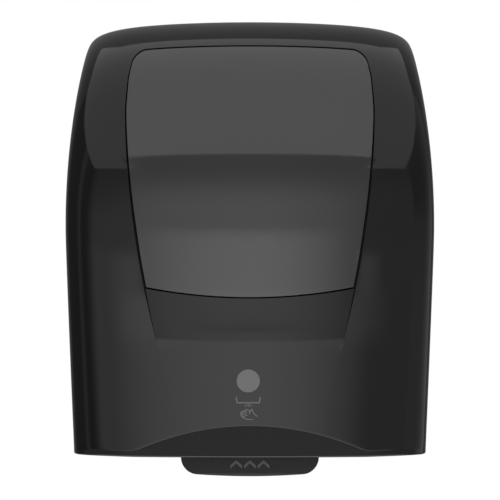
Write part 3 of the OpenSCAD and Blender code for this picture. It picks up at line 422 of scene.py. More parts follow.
def solder_mask(name, track_mm, turn):
    # Solder mask: glossy green lacquer in which the copper tracks stand out paler, about 4 mm apart.
    material = speckled(name, None, (0.25, 0.4, 2, 3), IOR=1.55, Coat_Weight=0.5, Coat_Roughness=0.1)
    tree, shader, place = nodes_of(material)
    flat = add(tree, "Mapping", {"Vector": place, "Rotation": turn}).outputs["Vector"]
    layout = {"Vector": flat, "Scale": 1 / (track_mm * MM), "Mortar Size": 0.09, "Brick Width": 2.3,
              "Row Height": 0.6}
    tracks = add(tree, "TexBrick", layout, offset=0.37).outputs["Fac"]
    greens = {0: tracks, 6: linear("#1d5a30"), 7: linear("#3f8a4e")}
    mask = add(tree, "Mix", greens, data_type="RGBA").outputs[2]
    tree.links.new(mask, shader.inputs["Base Color"])
    steps = add(tree, "Bump", {"Height": tracks, "Strength": 1.0, "Distance": 0.04 * MM})
    tree.links.new(steps.outputs["Normal"], shader.inputs["Normal"])
    return material


def gloss_plastic(name, dark, light, roughness):
    # Moulded gloss plastic with faint handling marks about 3 mm across.
    return speckled(name, (dark, light, 3, 3), (roughness, roughness + 0.12, 3, 3), IOR=1.5,
                    Coat_Weight=0.3, Coat_Roughness=0.05)


upright = (math.radians(90), 0, 0)
softened("control_circuit_board", "control_board", 0.2, solder_mask("solder_mask_upright", 5, upright))
softened("sensor_circuit_board", "sensor_board", 0.15, solder_mask("solder_mask_level", 4, (0, 0, 0)))
lens_plastic = gloss_plastic("infrared_window", "#150c12", "#1f1119", 0.06)
button_abs = gloss_plastic("red_button_abs", "#a52a22", "#b8352c", 0.25)
softened("sensor_window", "sensor_lens", 0.4, lens_plastic)
softened("feed_button_cap", "feed_button", 0.7, button_abs)

# Roll holder
# Two nylon arms reach forward from the wall plate, the left one hinged and sprung so the roll drops in.
# Acetal plugs on their ends turn inside the cardboard core of the roll.
for side in ("right", "left"):
    softened(side + "_roll_arm", side + "_arm", 0.8, frame_nylon)
softened("left_arm_bracket", "arm_bracket", 0.6, frame_nylon)
softened("left_arm_pin", "arm_pin", 0.4, drawn_steel("drawn_steel_pin", "Z"))
for side in ("left", "right"):
    softened(side + "_roll_plug", side + "_core_plug", 0.5, gear_acetal)

# Front cover
# One large moulding of polished charcoal ABS, 2.8 mm thick, hinged at the bottom and locked at the top.
# It has a round-cornered window, a ramp below that, and an arch scooped out over the push bar.
# Sizes are in millimetres, with heights from the bottom of the body and depths from the wall.
BODY_WIDTH, BODY_HEIGHT, BODY_DEPTH = 295.5, 350.0, 232.0
COVER_WALL, MOUNT_Z = 2.8, 190.0
WIDEST_Z, UPPER_SIDE_RADIUS, SIDE_TAPER, TAPER_EASE = 186.0, 690.0, 0.0365, 12.0
SHOULDER_Z, SHOULDER_Y, BELLY_RADIUS = 188.0, 60.0, 890.0
EDGE_DROP, EDGE_POWER, TOP_EDGE_POWER, EDGE_CHANGE = 34.0, 5.5, 6.4, 0.6
TOP_CROWN, FRONT_CROWN, RIM_Y, RIM_CLEAR, RIM_BOTTOM_Z = 6.5, 9.0, 14.0, 4.0, 6.0
WINDOW_HALF, WINDOW_TOP, WINDOW_CORNER = 99.9, 331.0, 10.4
WINDOW_BOTTOM, WINDOW_BOW, LINE_LOWEST_Z = 137.0, 8.0, 30.0
LOWER_CURVE, LOWER_CURVE_Z, UPPER_TAPER, UPPER_TAPER_Z, UPPER_EASE = 0.00066, 290.0, 0.095, 279.0, 8.0
STEEP_EDGE, STEEP_FROM, STEEP_TO = 1.7, 190.0, 320.0
RAMP_DEPTH, RAMP_END, RAMP_HOLLOW, RAMP_FOOT = 2.7, 90.0, 0.3, 0.3
ARCH_HEIGHT, ARCH_HALF, ARCH_SETBACK, ARCH_START, ARCH_LEVEL_Z = 26.6, 93.0, 19.5, 42.0, 20.0
LOWER_RISE, LIP_HEIGHT, LIP_BACK = 2.5, 5.1, 3.0
LOCK_Y, LOCK_HALF_Y, LOCK_HALF_COLUMNS = 38.0, 8.0, 4
THIN_EDGE, ARCH_EDGE, LOWER_EDGE = 0.25, 0.9, 1.4
TOP_ROWS, SHOULDER_ROWS, CORNER_ROWS, UPPER_ROWS, BOW_ROWS = (4, 6, 5), 16, 12, 40, 12
RAMP_ROWS, LOWER_ROWS, ARCH_ROWS = 16, 14, 10
SIDE_STEPS, WINDOW_STEPS, WALL_STEPS, SIDE_START = 25, 48, 8, 0.005
GROOVE, GROOVE_END = 1.2, 0.08
# Polished moulded ABS: near black, with crisp reflections that waver a little.
# The waves of the mould are about 35 mm across and a few microns deep.
cover_abs = speckled("charcoal_abs_polished", ("#111112", "#131314", 60, 3), (0.045, 0.085, 25, 3),
                     (0.012, 35, 1), IOR=1.5)


def half_width(z):
    if z > WIDEST_Z:
        return BODY_WIDTH / 2 - (z - WIDEST_Z) ** 2 / (2 * UPPER_SIDE_RADIUS)
    return BODY_WIDTH / 2 - SIDE_TAPER * (math.hypot(WIDEST_Z - z, TAPER_EASE) - TAPER_EASE)


def profile_at(along):
    """The side profile as (y, z): to 1 along the top, to 2 round the shoulder, to 3 down the front."""
    if along <= 1:
        return -RIM_Y - along * (SHOULDER_Y - RIM_Y), BODY_HEIGHT
    if along <= 2:
        angle = math.radians(90 * (2 - along))
        return (-SHOULDER_Y - (BODY_DEPTH - SHOULDER_Y) * math.cos(angle),
                SHOULDER_Z + (BODY_HEIGHT - SHOULDER_Z) * math.sin(angle))
    return -BODY_DEPTH + (SHOULDER_Z * (along - 2)) ** 2 / (2 * BELLY_RADIUS), SHOULDER_Z * (3 - along)


def inward_at(along):
    """The direction square into the shell, as (y, z)."""
    if along <= 1:
        return Vector((0, -1))
    if along <= 2:
        angle = math.radians(90 * (2 - along))
        return Vector((math.cos(angle) / (BODY_DEPTH - SHOULDER_Y),
                       -math.sin(angle) / (BODY_HEIGHT - SHOULDER_Z))).normalized()
    return Vector((1, 0))


def along_at(z):
    """The place on the profile, below the top, that is at height z."""
    if z > SHOULDER_Z:
        return 2 - math.degrees(math.asin((z - SHOULDER_Z) / (BODY_HEIGHT - SHOULDER_Z))) / 90
    return 3 - z / SHOULDER_Z


def clamp(value, low=0.0, high=1.0):
    return max(low, min(high, value))


def side_drop(along, aside):
    """How far the shell falls away from its profile, at a share of the half width from the middle."""
    crown = TOP_CROWN + (FRONT_CROWN - TOP_CROWN) * clamp(along - 1)
    power = EDGE_POWER + (TOP_EDGE_POWER - EDGE_POWER) * clamp((1 + EDGE_CHANGE - along) / EDGE_CHANGE)
    edge = 1 - max(0.0, 1 - min(1.0, abs(aside)) ** power) ** (1 / power)
    return crown * aside * aside + EDGE_DROP * edge


def shell_at(along, aside, depth, wall):
    """A point of the shell in millimetres from the bottom of the body, set in by depth."""
    y, z = profile_at(along)
    inward = inward_at(along)
    move = side_drop(along, aside) + depth
    z = z + inward.y * move
    return Vector((aside * (half_width(z) - wall), y + inward.x * move, z))


def window_width(z, grown):
    """Half the window's width, which narrows in a wide curve downwards and nearly straight upwards."""
    corner = WINDOW_TOP - WINDOW_CORNER
    base = WINDOW_HALF - LOWER_CURVE * max(0.0, LOWER_CURVE_Z - z) ** 2
    base -= UPPER_TAPER * (math.hypot(max(0.0, z - UPPER_TAPER_Z), UPPER_EASE) - UPPER_EASE)
    if z <= corner:
        return base + grown
    return base - WINDOW_CORNER + math.sqrt(max(0.0, (WINDOW_CORNER + grown) ** 2 - (z - corner) ** 2))


def steeper(z):
    """How much the window's sloping side edge is stood up, none low down and most at the top."""
    return STEEP_EDGE * clamp((z - STEEP_FROM) / (STEEP_TO - STEEP_FROM))


def corner_z(angle, grown):
    return WINDOW_TOP - WINDOW_CORNER + (WINDOW_CORNER + grown) * math.sin(math.radians(angle))


def lower_z(x):
    return LOWER_RISE * (2 * x / BODY_WIDTH) ** 2


def arch_share(x):
    return max(0.0, 1 - (x / ARCH_HALF) ** 2)


def arch_z(x):
    return lower_z(x) + LIP_HEIGHT + (ARCH_HEIGHT - LIP_HEIGHT) * arch_share(x)


def arch_back(x):
    return LIP_BACK + (ARCH_SETBACK - LIP_BACK) * arch_share(x)


def spread(first, last, steps, kind, share_first=0.0, share_last=0.0):
    """Rows from first up to last, each with its kind and its share of that kind's effect."""
    return [(first + (last - first) * k / steps, kind,
             share_first + (share_last - share_first) * k / steps) for k in range(steps)]


lock_along = [(LOCK_Y + side * LOCK_HALF_Y - RIM_Y) / (SHOULDER_Y - RIM_Y) for side in (-1, 1)]
corner_along = along_at(WINDOW_TOP - WINDOW_CORNER)
window_along = along_at(WINDOW_BOTTOM)
ramp_along = along_at(RAMP_END)
arch_along = along_at(ARCH_START)
cover_rows = spread(0, lock_along[0], TOP_ROWS[0], "plain")
lock_first = len(cover_rows)
cover_rows += spread(lock_along[0], lock_along[1], TOP_ROWS[1], "plain")
lock_last = len(cover_rows)
cover_rows += spread(lock_along[1], 1, TOP_ROWS[2], "plain")
cover_rows += spread(1, along_at(WINDOW_TOP), SHOULDER_ROWS, "plain")
window_first = len(cover_rows)
corner_angles = [90 - 90 * k / CORNER_ROWS for k in range(CORNER_ROWS + 1)]
cover_rows += [(along_at(corner_z(angle, 0)), "window", 0.0) for angle in corner_angles[:-1]]
cover_rows += spread(corner_along, 2, UPPER_ROWS, "window")
cover_rows += spread(2, window_along, BOW_ROWS, "bow", 0, 1)
window_last = len(cover_rows)
cover_rows += spread(window_along, ramp_along, RAMP_ROWS, "ramp", 1, 0)
ramp_last = len(cover_rows)
cover_rows += spread(ramp_along, arch_along, LOWER_ROWS, "plain")
cover_rows += [(arch_along, "arch", k / ARCH_ROWS) for k in range(ARCH_ROWS + 1)]
arch_row = len(cover_rows) - 1
cover_rows += [(3, "scoop", 0.4), (3, "scoop", 1.0)]
first_line = SIDE_STEPS
last_line = first_line + 2 + WINDOW_STEPS
last_column = last_line + SIDE_STEPS
last_row = len(cover_rows) - 1
edge_top_z = BODY_HEIGHT - TOP_CROWN - EDGE_DROP
rim_top_z = edge_top_z - RIM_CLEAR


def column_place(column, line, groove):
    """Sideways place of a column, with the window line at the given share of the half width."""
    if first_line < column < last_line:
        return (line - groove) * (2 * (column - first_line - 1) / WINDOW_STEPS - 1)
    side, k = (-1, column) if column <= first_line else (1, last_column - column)
    if k == SIDE_STEPS:
        return side * line
    low = math.asin((line + SIDE_START) ** (EDGE_POWER / 2))
    angle = math.pi / 2 - (math.pi / 2 - low) * k / (SIDE_STEPS - 1)
    return side * math.sin(angle) ** (2 / EDGE_POWER)


def ramp_share(share):
    """The share of the ramp's depth, straight in side view and run out softly at its foot."""
    soft = share * share / (2 * RAMP_FOOT) if share < RAMP_FOOT else share - RAMP_FOOT / 2
    soft /= 1 - RAMP_FOOT / 2
    return soft + RAMP_HOLLOW / RAMP_DEPTH * 4 * soft * (1 - soft)


def cover_section(row, column, depth):
    """A point of the cover's front and top, with the window line, ramp and arch worked in."""
    along, kind, share = cover_rows[row]
    z = profile_at(along)[1]
    half = half_width(min(z, edge_top_z))
    line_z = LINE_LOWEST_Z if kind == "scoop" else clamp(z, LINE_LOWEST_Z, WINDOW_TOP)
    line = (window_width(line_z, 0) + (steeper(z) if depth else 0.0)) / half
    groove = GROOVE
    if along > window_along:
        groove *= GROOVE_END + (1 - GROOVE_END) * (ramp_share(share) if kind == "ramp" else 0)
    aside = column_place(column, line, groove / half)
    bow = WINDOW_BOW * (1 - clamp(aside / line, -1, 1) ** 2) / SHOULDER_Z
    x = aside * half_width(ARCH_LEVEL_Z)
    if kind == "bow":
        return shell_at(along + bow * share, aside, depth, depth)
    if kind == "ramp":
        set_in = RAMP_DEPTH * ramp_share(share) if first_line < column < last_line else 0
        return shell_at(along + bow * share, aside, depth + set_in, depth)
    if kind == "arch":
        return shell_at(along_at(ARCH_START + (arch_z(x) - ARCH_START) * share), aside, depth, depth)
    if kind == "scoop":
        point = shell_at(along_at(arch_z(x)), aside, depth + arch_back(x) * share, depth)
        return Vector((point.x, point.y, arch_z(x) + (lower_z(x) - arch_z(x)) * share))
    return shell_at(along, aside, depth, depth)


def cover_point(row, column, depth):
    """The section between the side edges, and beyond them the side walls back to the rim."""
    column -= WALL_STEPS
    if 0 <= column <= last_column:
        return cover_section(row, column, depth)
    side, beyond = (-1, -column) if column < 0 else (1, column - last_column)
    edge = cover_section(row, 0 if side < 0 else last_column, depth)
    share = beyond / WALL_STEPS
    rim_z = rim_top_z + (RIM_BOTTOM_Z - rim_top_z) * row / last_row
    z = edge.z + (rim_z - edge.z) * share
    return Vector((side * (half_width(z) - depth), edge.y + (-RIM_Y - edge.y) * share, z))


def sheet(bm, rows, columns, point_at):
    """A grid whose vertex in each row and column is moved to its point, kept by row and column."""
    verts = bmesh.ops.create_grid(bm, x_segments=columns, y_segments=rows, size=1.0)["verts"]
    placed = {}
    for v in verts:
        key = (round((1 - v.co.y) / 2 * rows), round((v.co.x + 1) / 2 * columns))
        placed[key] = v
    for (row, column), v in placed.items():
        point = point_at(row, column)
        v.co = Vector((point.x, point.y, point.z - MOUNT_Z)) * MM
    return placed


def close_edges(bm, front, back, loop_of):
    """Bridges each open edge of the front sheet to that of the back sheet."""
    loops = {}
    for placed in (front, back):
        key_of = {v: key for key, v in placed.items()}
        for v in placed.values():
            for e in v.link_edges:
                if e.is_boundary and e.verts[0] is v:
                    loops.setdefault(loop_of(*key_of[v]), []).append(e)
    for edges in loops.values():
        bmesh.ops.bridge_loops(bm, edges=edges)


def edges_between(placed, pairs):
    """The edges between pairs of places of a sheet."""
    found = []
    for a, b in pairs:
        if a in placed and b in placed and placed[a].is_valid and placed[b].is_valid:
            found += [e for e in placed[a].link_edges if e.other_vert(placed[a]) is placed[b]]
    return found


columns = last_column + 2 * WALL_STEPS
lock_columns = (columns // 2 - LOCK_HALF_COLUMNS, columns // 2 + LOCK_HALF_COLUMNS)
window_columns = (WALL_STEPS + first_line, WALL_STEPS + last_line)


def cover_loop(row, column):
    if row in (0, last_row) or column in (0, columns):
        return "rim"
    return "lock" if row <= lock_last else "window"


def inside_hole(face, key_of):
    rows = [key_of[v][0] for v in face.verts]
    places = [key_of[v][1] for v in face.verts]
    in_lock = (lock_first <= min(rows) and max(rows) <= lock_last
               and lock_columns[0] <= min(places) and max(places) <= lock_columns[1])
    in_window = (window_first <= min(rows) and max(rows) <= window_last
                 and window_columns[0] <= min(places) and max(places) <= window_columns[1])
    return in_lock or in_window


cover = bmesh.new()
skins = []
for depth in (0.0, COVER_WALL):
    placed = sheet(cover, last_row, columns, lambda row, column: cover_point(row, column, depth))
    key_of = {v: key for key, v in placed.items()}
    holes = [f for f in cover.faces if f.verts[0] in key_of and inside_hole(f, key_of)]
    bmesh.ops.delete(cover, geom=holes, context="FACES")
    skins.append({key: v for key, v in placed.items() if v.is_valid})
outside, inside = skins
arch_line, lower_line = [[((row, column), (row, column + 1)) for column in range(columns)]
                         for row in (arch_row, last_row)]
lower_verts = [outside[last_row, column] for column in range(columns + 1)]
thin_edges = [e for v in outside.values() if v not in lower_verts for e in v.link_edges if e.is_boundary]
close_edges(cover, outside, inside, cover_loop)
bmesh.ops.recalc_face_normals(cover, faces=cover.faces)
rounded(cover, list(set(thin_edges)), THIN_EDGE)
rounded(cover, edges_between(outside, arch_line), ARCH_EDGE, 3)
rounded(cover, edges_between(outside, lower_line), LOWER_EDGE)
ramp_lines = [((row, column), (row + 1, column)) for row in range(window_last, ramp_last)
              for edge in window_columns for column in (edge - 1, edge, edge + 1)]
finished("front_cover_shell", cover, cover_abs, ["front_cover"], crease=12,
         hard=set(edges_between(outside, ramp_lines)))
softened("cover_hinge_lug_pair", "cover_hinge_lugs", 0.5, cover_abs)

# Window pane
# A smoked moulding that fits the window from behind, on a flange that is clipped to the cover.
# Its raised face sits a little below the cover, in a thin gap, and the flange seen through that gap is
# painted black without gloss as painted shade.
PANE_GAP, PANE_EDGE, PANE_HEAD, PANE_FLANGE, PANE_WALL, PANE_SEAT = 0.45, 0.2, 5.0, 7.0, 2.2, 0.35
PANE_DEPTH, PANE_TURN, PANE_LINE_Z, HAIR, FLANGE_STEPS = 0.6, 0.7, 60.0, 0.01, 2
# Each row has a height at its edge, a height on its face and a kind: 0 for the flange above,
# 1 for the upper face, 2 to 3 for the lower face as its rows bow, and 4 for the flange below.
pane_foot = WINDOW_BOTTOM + 2 * PANE_GAP
pane_top = corner_z(90, -PANE_GAP)
pane_rows = [(WINDOW_TOP + PANE_HEAD, WINDOW_TOP + PANE_HEAD, 0), (pane_top, pane_top, 0)]
pane_rows += [(corner_z(angle, -PANE_GAP), corner_z(angle, -PANE_GAP - PANE_EDGE), 1)
              for angle in corner_angles]
level_rows = [(profile_at(corner_along + (2 - corner_along) * k / UPPER_ROWS)[1], 1)
              for k in range(1, UPPER_ROWS + 1)]
level_rows += [(SHOULDER_Z + (WINDOW_BOTTOM - SHOULDER_Z) * k / BOW_ROWS, 2 + k / BOW_ROWS)
               for k in range(1, BOW_ROWS)]
level_rows += [(pane_foot + PANE_EDGE, 3), (pane_foot, 4), (WINDOW_BOTTOM - PANE_FLANGE, 4)]
pane_rows += [(z, z, kind) for z, kind in level_rows]
pane_columns = WINDOW_STEPS + 2 * FLANGE_STEPS


def pane_set_in(z):
    """Set in a little at the top, and by the depth of the ramp at the bottom."""
    share = clamp((WINDOW_TOP - z) / (WINDOW_TOP - WINDOW_BOTTOM))
    return PANE_DEPTH + (RAMP_DEPTH - PANE_DEPTH + PANE_TURN) * share - PANE_TURN * share ** 4


def at_side(column):
    return column < FLANGE_STEPS or column > pane_columns - FLANGE_STEPS


def pane_point(row, column, back):
    """A point of the pane's front or back: its face between the sides, and the flange around that."""
    edge_z, face_z, kind = pane_rows[row]
    on_flange = at_side(column)
    z = edge_z if on_flange else face_z
    half = half_width(min(z, edge_top_z))
    line_z = clamp(z, PANE_LINE_Z, WINDOW_TOP - HAIR)
    grown = -PANE_GAP / 2 if on_flange else -PANE_GAP / 2 - PANE_EDGE
    line = (window_width(WINDOW_TOP, 0) if kind == 0 else window_width(line_z, grown)) + steeper(z)
    if column in (0, pane_columns):
        line = window_width(clamp(z, PANE_LINE_Z, WINDOW_TOP - WINDOW_CORNER), PANE_FLANGE)
    side = -1 if column < pane_columns / 2 else 1
    aside = line / half * (side if on_flange else 2 * (column - FLANGE_STEPS) / WINDOW_STEPS - 1)
    bend = clamp(aside * half / window_width(line_z, 0), -1, 1)
    share = 0 if kind < 2 else clamp(kind - 2)
    along = along_at(z) + WINDOW_BOW * (1 - bend * bend) / SHOULDER_Z * share
    front = COVER_WALL + PANE_SEAT if on_flange or kind == 0 else pane_set_in(z)
    if kind == 4:
        front = COVER_WALL + RAMP_DEPTH + PANE_SEAT
    deep = max(COVER_WALL + PANE_SEAT, pane_set_in(z)) + PANE_WALL
    if kind >= 3:
        deep = COVER_WALL + RAMP_DEPTH + PANE_WALL
    return shell_at(along, aside, deep if back else front, COVER_WALL)


# Smoked clear styrene: dark and polished on both faces, so it reflects about twice what the cover does.
# A raised index stands for the second face, and a little light passes through.
smoked_styrene = speckled("smoked_styrene", ("#2c2c2d", "#303030", 70, 3), (0.04, 0.08, 30, 3),
                          (0.01, 40, 1), IOR=1.84, Transmission_Weight=0.35)
# Painted shade: the flange behind the gap is near black, dull and without gloss, with a speckle about 0.5
# mm across, so that the gap reads as a dark line.
gap_shade_black = speckled("painted_gap_shade", ("#060606", "#0c0c0c", 0.5, 3), Roughness=1.0,
                     Specular_IOR_Level=0.0)
pane = bmesh.new()
pane_last = len(pane_rows) - 1
pane_front, pane_rear = [
    sheet(pane, pane_last, pane_columns, lambda row, column: pane_point(row, column, back))
    for back in (False, True)]
# The flange faces, seen only through the gap, take the black painted shade.
for (row, column), v in pane_front.items():
    if at_side(column) or pane_rows[row][2] in (0, 4):
        for face in v.link_faces:
            face.material_index = 1
close_edges(pane, pane_front, pane_rear, lambda row, column: "edge")
bmesh.ops.recalc_face_normals(pane, faces=pane.faces)
window = finished("smoked_window_pane", pane, smoked_styrene, ["window_pane"], crease=12)
window.data.materials.append(gap_shade_black)

# Printed marks on the cover
# A plain grey disc and a small hand-under-the-slot sign, pad-printed on the lower front.
# The sign is line art of a tray, a beam and a hand, in bars with round ends.
DISC_RADIUS, DISC_X, DISC_Z, SIGN_X, COVER_INK_PROUD = 9.2, -1.3, 63.0, -0.7, 0.06
TRAY_WIDTH, LINE_WIDTH, LINE_LIFT = 0.9, 0.7, 0.005
TRAY = (((-9.4, 45.4), (8.2, 45.4)), ((-9.4, 45.4), (-10.2, 49.8)), ((8.2, 45.4), (9.0, 49.8)))
BEAM = (((-0.6, 44), (-0.6, 42.4)), ((-2, 44), (-2.9, 42.6)), ((0.8, 44), (1.7, 42.6)))
FINGERS = (((-6.0, 38.2), (-1.6, 40.2)), ((-6.6, 36.6), (-1.8, 38.8)),
           ((-6.3, 35.0), (-1.9, 37.3)), ((-5.2, 33.6), (-1.6, 35.6)))
TIPS_AND_WRIST = ((-6.0, 38.2), (-6.6, 36.6), (-6.3, 35.0), (-5.2, 33.6), (-1.4, 32.0), (3.2, 31.8))
THUMB = ((-1.6, 40.2), (0.6, 38.8), (0.4, 36.6), (2.2, 40.4), (3.6, 37.2), (6.4, 34.4))


def stroke(bm, start, end, width, lift):
    """A flat bar with round ends from start to end, in x and z, lifted towards the front."""
    run = Vector((end[0] - start[0], 0, end[1] - start[1]))
    verts = bmesh.ops.create_circle(bm, cap_ends=True, segments=20, radius=width / 2)["verts"]
    far = [v for v in verts if v.co.x > 1e-6]
    bmesh.ops.translate(bm, verts=far, vec=(run.length, 0, 0))
    bmesh.ops.rotate(bm, verts=verts, cent=(0, 0, 0), matrix=Matrix.Rotation(math.radians(90), 3, "X"))
    bmesh.ops.rotate(bm, verts=verts, cent=(0, 0, 0),
                     matrix=Matrix.Rotation(-math.atan2(run.z, run.x), 3, "Y"))
    bmesh.ops.translate(bm, verts=verts, vec=(start[0], -lift, start[1]))


def on_cover(name, bm, material):
    """Lays flat marks, drawn in x and z from the bottom of the body, on the lower front."""
    raised(bm, INK_DEPTH * MM)
    for v in bm.verts:
        x, z = v.co.x / MM, v.co.z / MM
        point = shell_at(along_at(z), x / half_width(z), 0, 0)
        v.co = Vector((x, point.y - COVER_INK_PROUD + v.co.y / MM, z - MOUNT_Z)) * MM
    finished(name, bm, material, [], "front_cover")


pale_ink = stamped_ink("pale_grey_ink", "#636363", "#6c6c6c")
disc = bmesh.new()
rim = bmesh.ops.create_circle(disc, cap_ends=True, segments=64, radius=DISC_RADIUS * MM)["verts"]
bmesh.ops.rotate(disc, verts=rim, cent=(0, 0, 0), matrix=Matrix.Rotation(math.radians(90), 3, "X"))
bmesh.ops.translate(disc, verts=rim, vec=(DISC_X * MM, 0, DISC_Z * MM))
on_cover("blank_disc_print", disc, pale_ink)

# Each line of the sign lies a hair above the one before, so that no two faces share a plane.
sign = bmesh.new()
thin_lines = [*BEAM, *FINGERS, *zip(TIPS_AND_WRIST, TIPS_AND_WRIST[1:]), *zip(THUMB, THUMB[1:])]
for lines, width in ((TRAY, TRAY_WIDTH), (thin_lines, LINE_WIDTH)):
    for start, end in lines:
        lift = len(sign.faces) * LINE_LIFT * MM
        stroke(sign, [v * MM for v in start], [v * MM for v in end], width * MM, lift)
bmesh.ops.translate(sign, verts=sign.verts, vec=(SIGN_X * MM, 0, 0))
on_cover("hand_sign_print", sign, pale_ink)

# Lock
# A die-cast lock sits in the top of the cover: an ABS housing, a barrel with a key slot, and a cam.
# The cam swings behind the keeper on the wall plate.
softened("lock_housing_moulding", "lock_housing", 0.4, cover_abs)
softened("lock_key_barrel", "lock_barrel", 0.3, screw_plate)
softened("lock_turn_cam", "lock_cam", 0.4, screw_plate)

# Studio
# A pale floor well below, a soft box overhead, a graded card in front and dark cloth around.
# Box, card and cloth show only in gloss and through glass. One lamp and a white world light the object.
FLOOR_Z, FLOOR_HALF, FLOOR_LIFT = -4.5, 2.5, 0.34
ROOM_HALF, ROOM_FRONT, ROOM_REAR, ROOM_TOP, ROOM_BOTTOM = 3.0, -3.6, 1.6, 3.6, -3.0
SOFT_BOX_Z = 1.15
SOFT_BOX_SIDE = ((0.34, 0.88), (0.56, 1.25), (0.77, 0.55), (0.98, 0.28), (1.1, -0.1), (1.13, -0.8),
                 (1.14, -1.62), (0.57, -1.86), (0.565, -1.48))
SHADE_LEVEL, WHITE_LEVEL = 0.8, 1.0


def corners(first, last, low, high):
    return (first, low), (last, low), (last, high), (first, high)


def panel(name, outline, material):
    bm = bmesh.new()
    bm.faces.new([bm.verts.new(corner) for corner in outline])
    piece = as_object(name, bm, material)
    return piece


def glowing(name, base, *patches):
    """A cloth that glows by an even base and by patches, each the product of smooth ramps.

    A ramp is its axis, its start and end in metres, and its levels there. Axis W is the distance from the
    middle, left or right.
    """
    material, tree = blank_material(name)
    emission = add(tree, "Emission", {"Color": (1, 1, 1, 1), "Strength": base})
    add(tree, "OutputMaterial", {"Surface": emission.outputs["Emission"]})
    split = add(tree, "SeparateXYZ", {"Vector": add(tree, "TexCoord").outputs["Object"]}).outputs
    away = add(tree, "Math", {0: split["X"]}, operation="ABSOLUTE").outputs["Value"]
    axes = {"W": away, "X": split["X"], "Y": split["Y"], "Z": split["Z"]}
    total = base
    for ramps in patches:
        patch = 1.0
        for axis, start, end, low, high in ramps:
            limits = {"From Min": start, "From Max": end, "To Min": low, "To Max": high}
            ramp = add(tree, "MapRange", {"Value": axes[axis], **limits}, interpolation_type="SMOOTHSTEP")
            factors = {0: patch, 1: ramp.outputs["Result"]}
            patch = add(tree, "Math", factors, operation="MULTIPLY").outputs["Value"]
        total = add(tree, "Math", {0: total, 1: patch}, operation="ADD").outputs["Value"]
    if patches:
        tree.links.new(total, emission.inputs["Strength"])
    return material


# A card lit from below: bright in the middle of its foot, fading up, to the right and slowly to the left.
# Two paler wings stand beside the middle, and the left edge is dark.
LEFT_EDGE = ("X", -2.9, -2.0, 0.25, 1)
FOOT = ("Z", -0.71, -0.58, 1, 0)
ABOVE_FOOT = ("Z", -0.71, -0.58, 0, 1)
WIDE = (("X", -1.85, 0, 0, 1), ("X", 0.05, 1.1, 1, 0))
CARD_PATCHES = (
    (("Z", 0.8, 2.6, 0.31, 0.22),),
    (("X", -1.6, -0.6, 0.14, 0), ("Z", -0.2, 1.4, 1, 0)),
    (*WIDE, ("Z", -0.71, -0.58, 0.77, 0)),
    (*WIDE, ("Z", 0.4, 2.0, 0.27, 0)),
    (("W", 0.3, 0.8, 0, 1), ("W", 0.9, 1.6, 1, 0), FOOT, ("Z", -1.15, -0.85, 0, 0.2)),
    (("X", -1.19, 0, 0, 1), ("X", 0.05, 0.8, 1, 0), ("Z", -0.25, -0.14, 0.45, 0.03),
     ABOVE_FOOT),
    (("W", 0.76, 0.9, 0, 0.34), ("W", 0.95, 1.6, 1, 0.3), ("X", 0.9, 1.3, 1, 0.1),
     ("Z", -0.39, -0.28, 1, 0), ABOVE_FOOT),
    (("X", -1.9, -1.3, 0.12, 0), FOOT))
card_light = glowing("graded_card", 0.0, *[(LEFT_EDGE, *patch) for patch in CARD_PATCHES])
# Dark cloth on the left with one dim strip of light down it, and even cloth at the rear and above.
left_light = glowing("left_cloth", 0.08, (("Y", -2.9, -2.4, 0, 0.18), ("Y", -2.2, -1.7, 1, 0)))
rear_light = glowing("rear_cloth", 0.165)
# Grey cloth on the right that grows lighter towards the wall and darker towards the top.
right_light = glowing("right_cloth", 0.0, (("Y", -1.6, 0.8, 0.31, 0.62), ("Z", -0.9, 1.2, 1.15, 0.5)))
# Grey cloth over the floor, with a bright sheet below the object and another at the front.
low_light = glowing(
    "low_cloth", 0.28,
    (("Y", -0.75, -0.3, 0.16, 1.22), ("Y", 0.6, 1.1, 1, 0), ("W", 0.7, 1.3, 1, 0)),
    (("Y", -3.0, -2.3, 1.6, 0), ("W", 0.3, 1, 1, 0.5), ("W", 1.7, 2.1, 1, 0)))
# The soft box is brightest over the front half and falls off towards the wall.
soft_box_light = glowing("soft_box_face", 0.0, (("Y", -0.9, 0.5, 0.675, 0.55),))


def as_background(tree):
    """1 for the rays that show a background: from the camera, in a gloss or through glass."""
    path = add(tree, "LightPath").outputs
    direct = add(tree, "Math", {0: path["Is Camera Ray"], 1: path["Is Glossy Ray"]}, operation="MAXIMUM")
    shown = {0: direct.outputs["Value"], 1: path["Is Transmission Ray"]}
    return add(tree, "Math", shown, operation="MAXIMUM").outputs["Value"]


# Matt pale paint. As a background it is lifted to the white of the backdrop, and it keeps its shadows.
floor_paint = speckled("pale_floor", ("#e6e6e6", "#ececec", 900, 3), Roughness=0.8,
                       Emission_Color=(1, 1, 1, 1))
floor_tree, floor_shader = nodes_of(floor_paint)[:2]
floor_lift = add(floor_tree, "Math", {0: as_background(floor_tree), 1: FLOOR_LIFT}, operation="MULTIPLY")
floor_tree.links.new(floor_lift.outputs["Value"], floor_shader.inputs["Emission Strength"])
floor = corners(-FLOOR_HALF, FLOOR_HALF, -FLOOR_HALF, FLOOR_HALF)
panel("studio_floor", [(x, y, FLOOR_Z) for x, y in floor], floor_paint)
wall = corners(-ROOM_HALF, ROOM_HALF, ROOM_BOTTOM, ROOM_TOP)
side_wall = corners(ROOM_FRONT, ROOM_REAR, ROOM_BOTTOM, ROOM_TOP)
room_floor = corners(-ROOM_HALF, ROOM_HALF, ROOM_FRONT, ROOM_REAR)
soft_box = [(x, y, SOFT_BOX_Z) for x, y in SOFT_BOX_SIDE]
soft_box += [(-x, y, SOFT_BOX_Z) for x, y in reversed(SOFT_BOX_SIDE)]
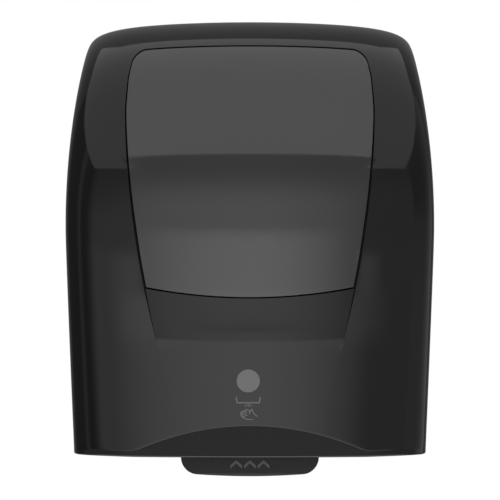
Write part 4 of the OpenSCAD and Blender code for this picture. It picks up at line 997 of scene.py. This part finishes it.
around = [panel("front_card", [(x, ROOM_FRONT, z) for x, z in wall], card_light),
          panel("rear_cloth", [(x, ROOM_REAR, z) for x, z in wall], rear_light),
          panel("left_cloth", [(-ROOM_HALF, y, z) for y, z in side_wall], left_light),
          panel("right_cloth", [(ROOM_HALF, y, z) for y, z in side_wall], right_light),
          panel("ceiling_cloth", [(x, y, ROOM_TOP) for x, y in room_floor], rear_light),
          panel("low_cloth", [(x, y, ROOM_BOTTOM) for x, y in room_floor], low_light),
          panel("soft_box", soft_box, soft_box_light)]
for piece in around:
    piece.visible_camera = False
    piece.visible_shadow = False
    piece.visible_diffuse = False

lamp = bpy.data.lights.new("key_lamp", "AREA")
lamp.size = 1.2
lamp.energy = 20
lamp_place = bpy.data.objects.new("key_lamp", lamp)
lamp_place.location = (-1.1, -1.9, 1.5)
lamp_place.rotation_euler = (-lamp_place.location).to_track_quat("-Z", "Y").to_euler()
lamp_place.visible_glossy = False
bpy.context.scene.collection.objects.link(lamp_place)

world = bpy.data.worlds.new("studio_white")
world.use_nodes = True
bpy.context.scene.world = world
world_tree = world.node_tree
world_tree.nodes.clear()
levels = {"Value": as_background(world_tree), "To Min": SHADE_LEVEL, "To Max": WHITE_LEVEL}
level = add(world_tree, "MapRange", levels)
backdrop = add(world_tree, "Background", {"Color": (1, 1, 1, 1), "Strength": level.outputs["Result"]})
add(world_tree, "OutputWorld", {"Surface": backdrop.outputs["Background"]})

# Camera
# A long lens, five metres in front of the object and a little below the top of the cover.
# It looks down by less than two degrees at the middle of the picture.
PICTURE_WIDTH, PICTURE_MIDDLE_Z, SENSOR_WIDTH = 0.4012, -0.0235, 36
CAMERA_DISTANCE, CAMERA_X, CAMERA_Z, FACE_Y = 5.0, 0.0001, 0.13, -0.19
camera = bpy.data.cameras.new("photo_camera")
camera.sensor_width = SENSOR_WIDTH
camera.lens = SENSOR_WIDTH * CAMERA_DISTANCE / PICTURE_WIDTH
camera_place = bpy.data.objects.new("photo_camera", camera)
camera_place.location = (CAMERA_X, FACE_Y - CAMERA_DISTANCE, CAMERA_Z)
downward = math.atan2(CAMERA_Z - PICTURE_MIDDLE_Z, CAMERA_DISTANCE)
camera_place.rotation_euler = (math.radians(90) - downward, 0, 0)
bpy.context.scene.collection.objects.link(camera_place)
bpy.context.scene.camera = camera_place

bpy.context.scene.view_settings.view_transform = "Standard"
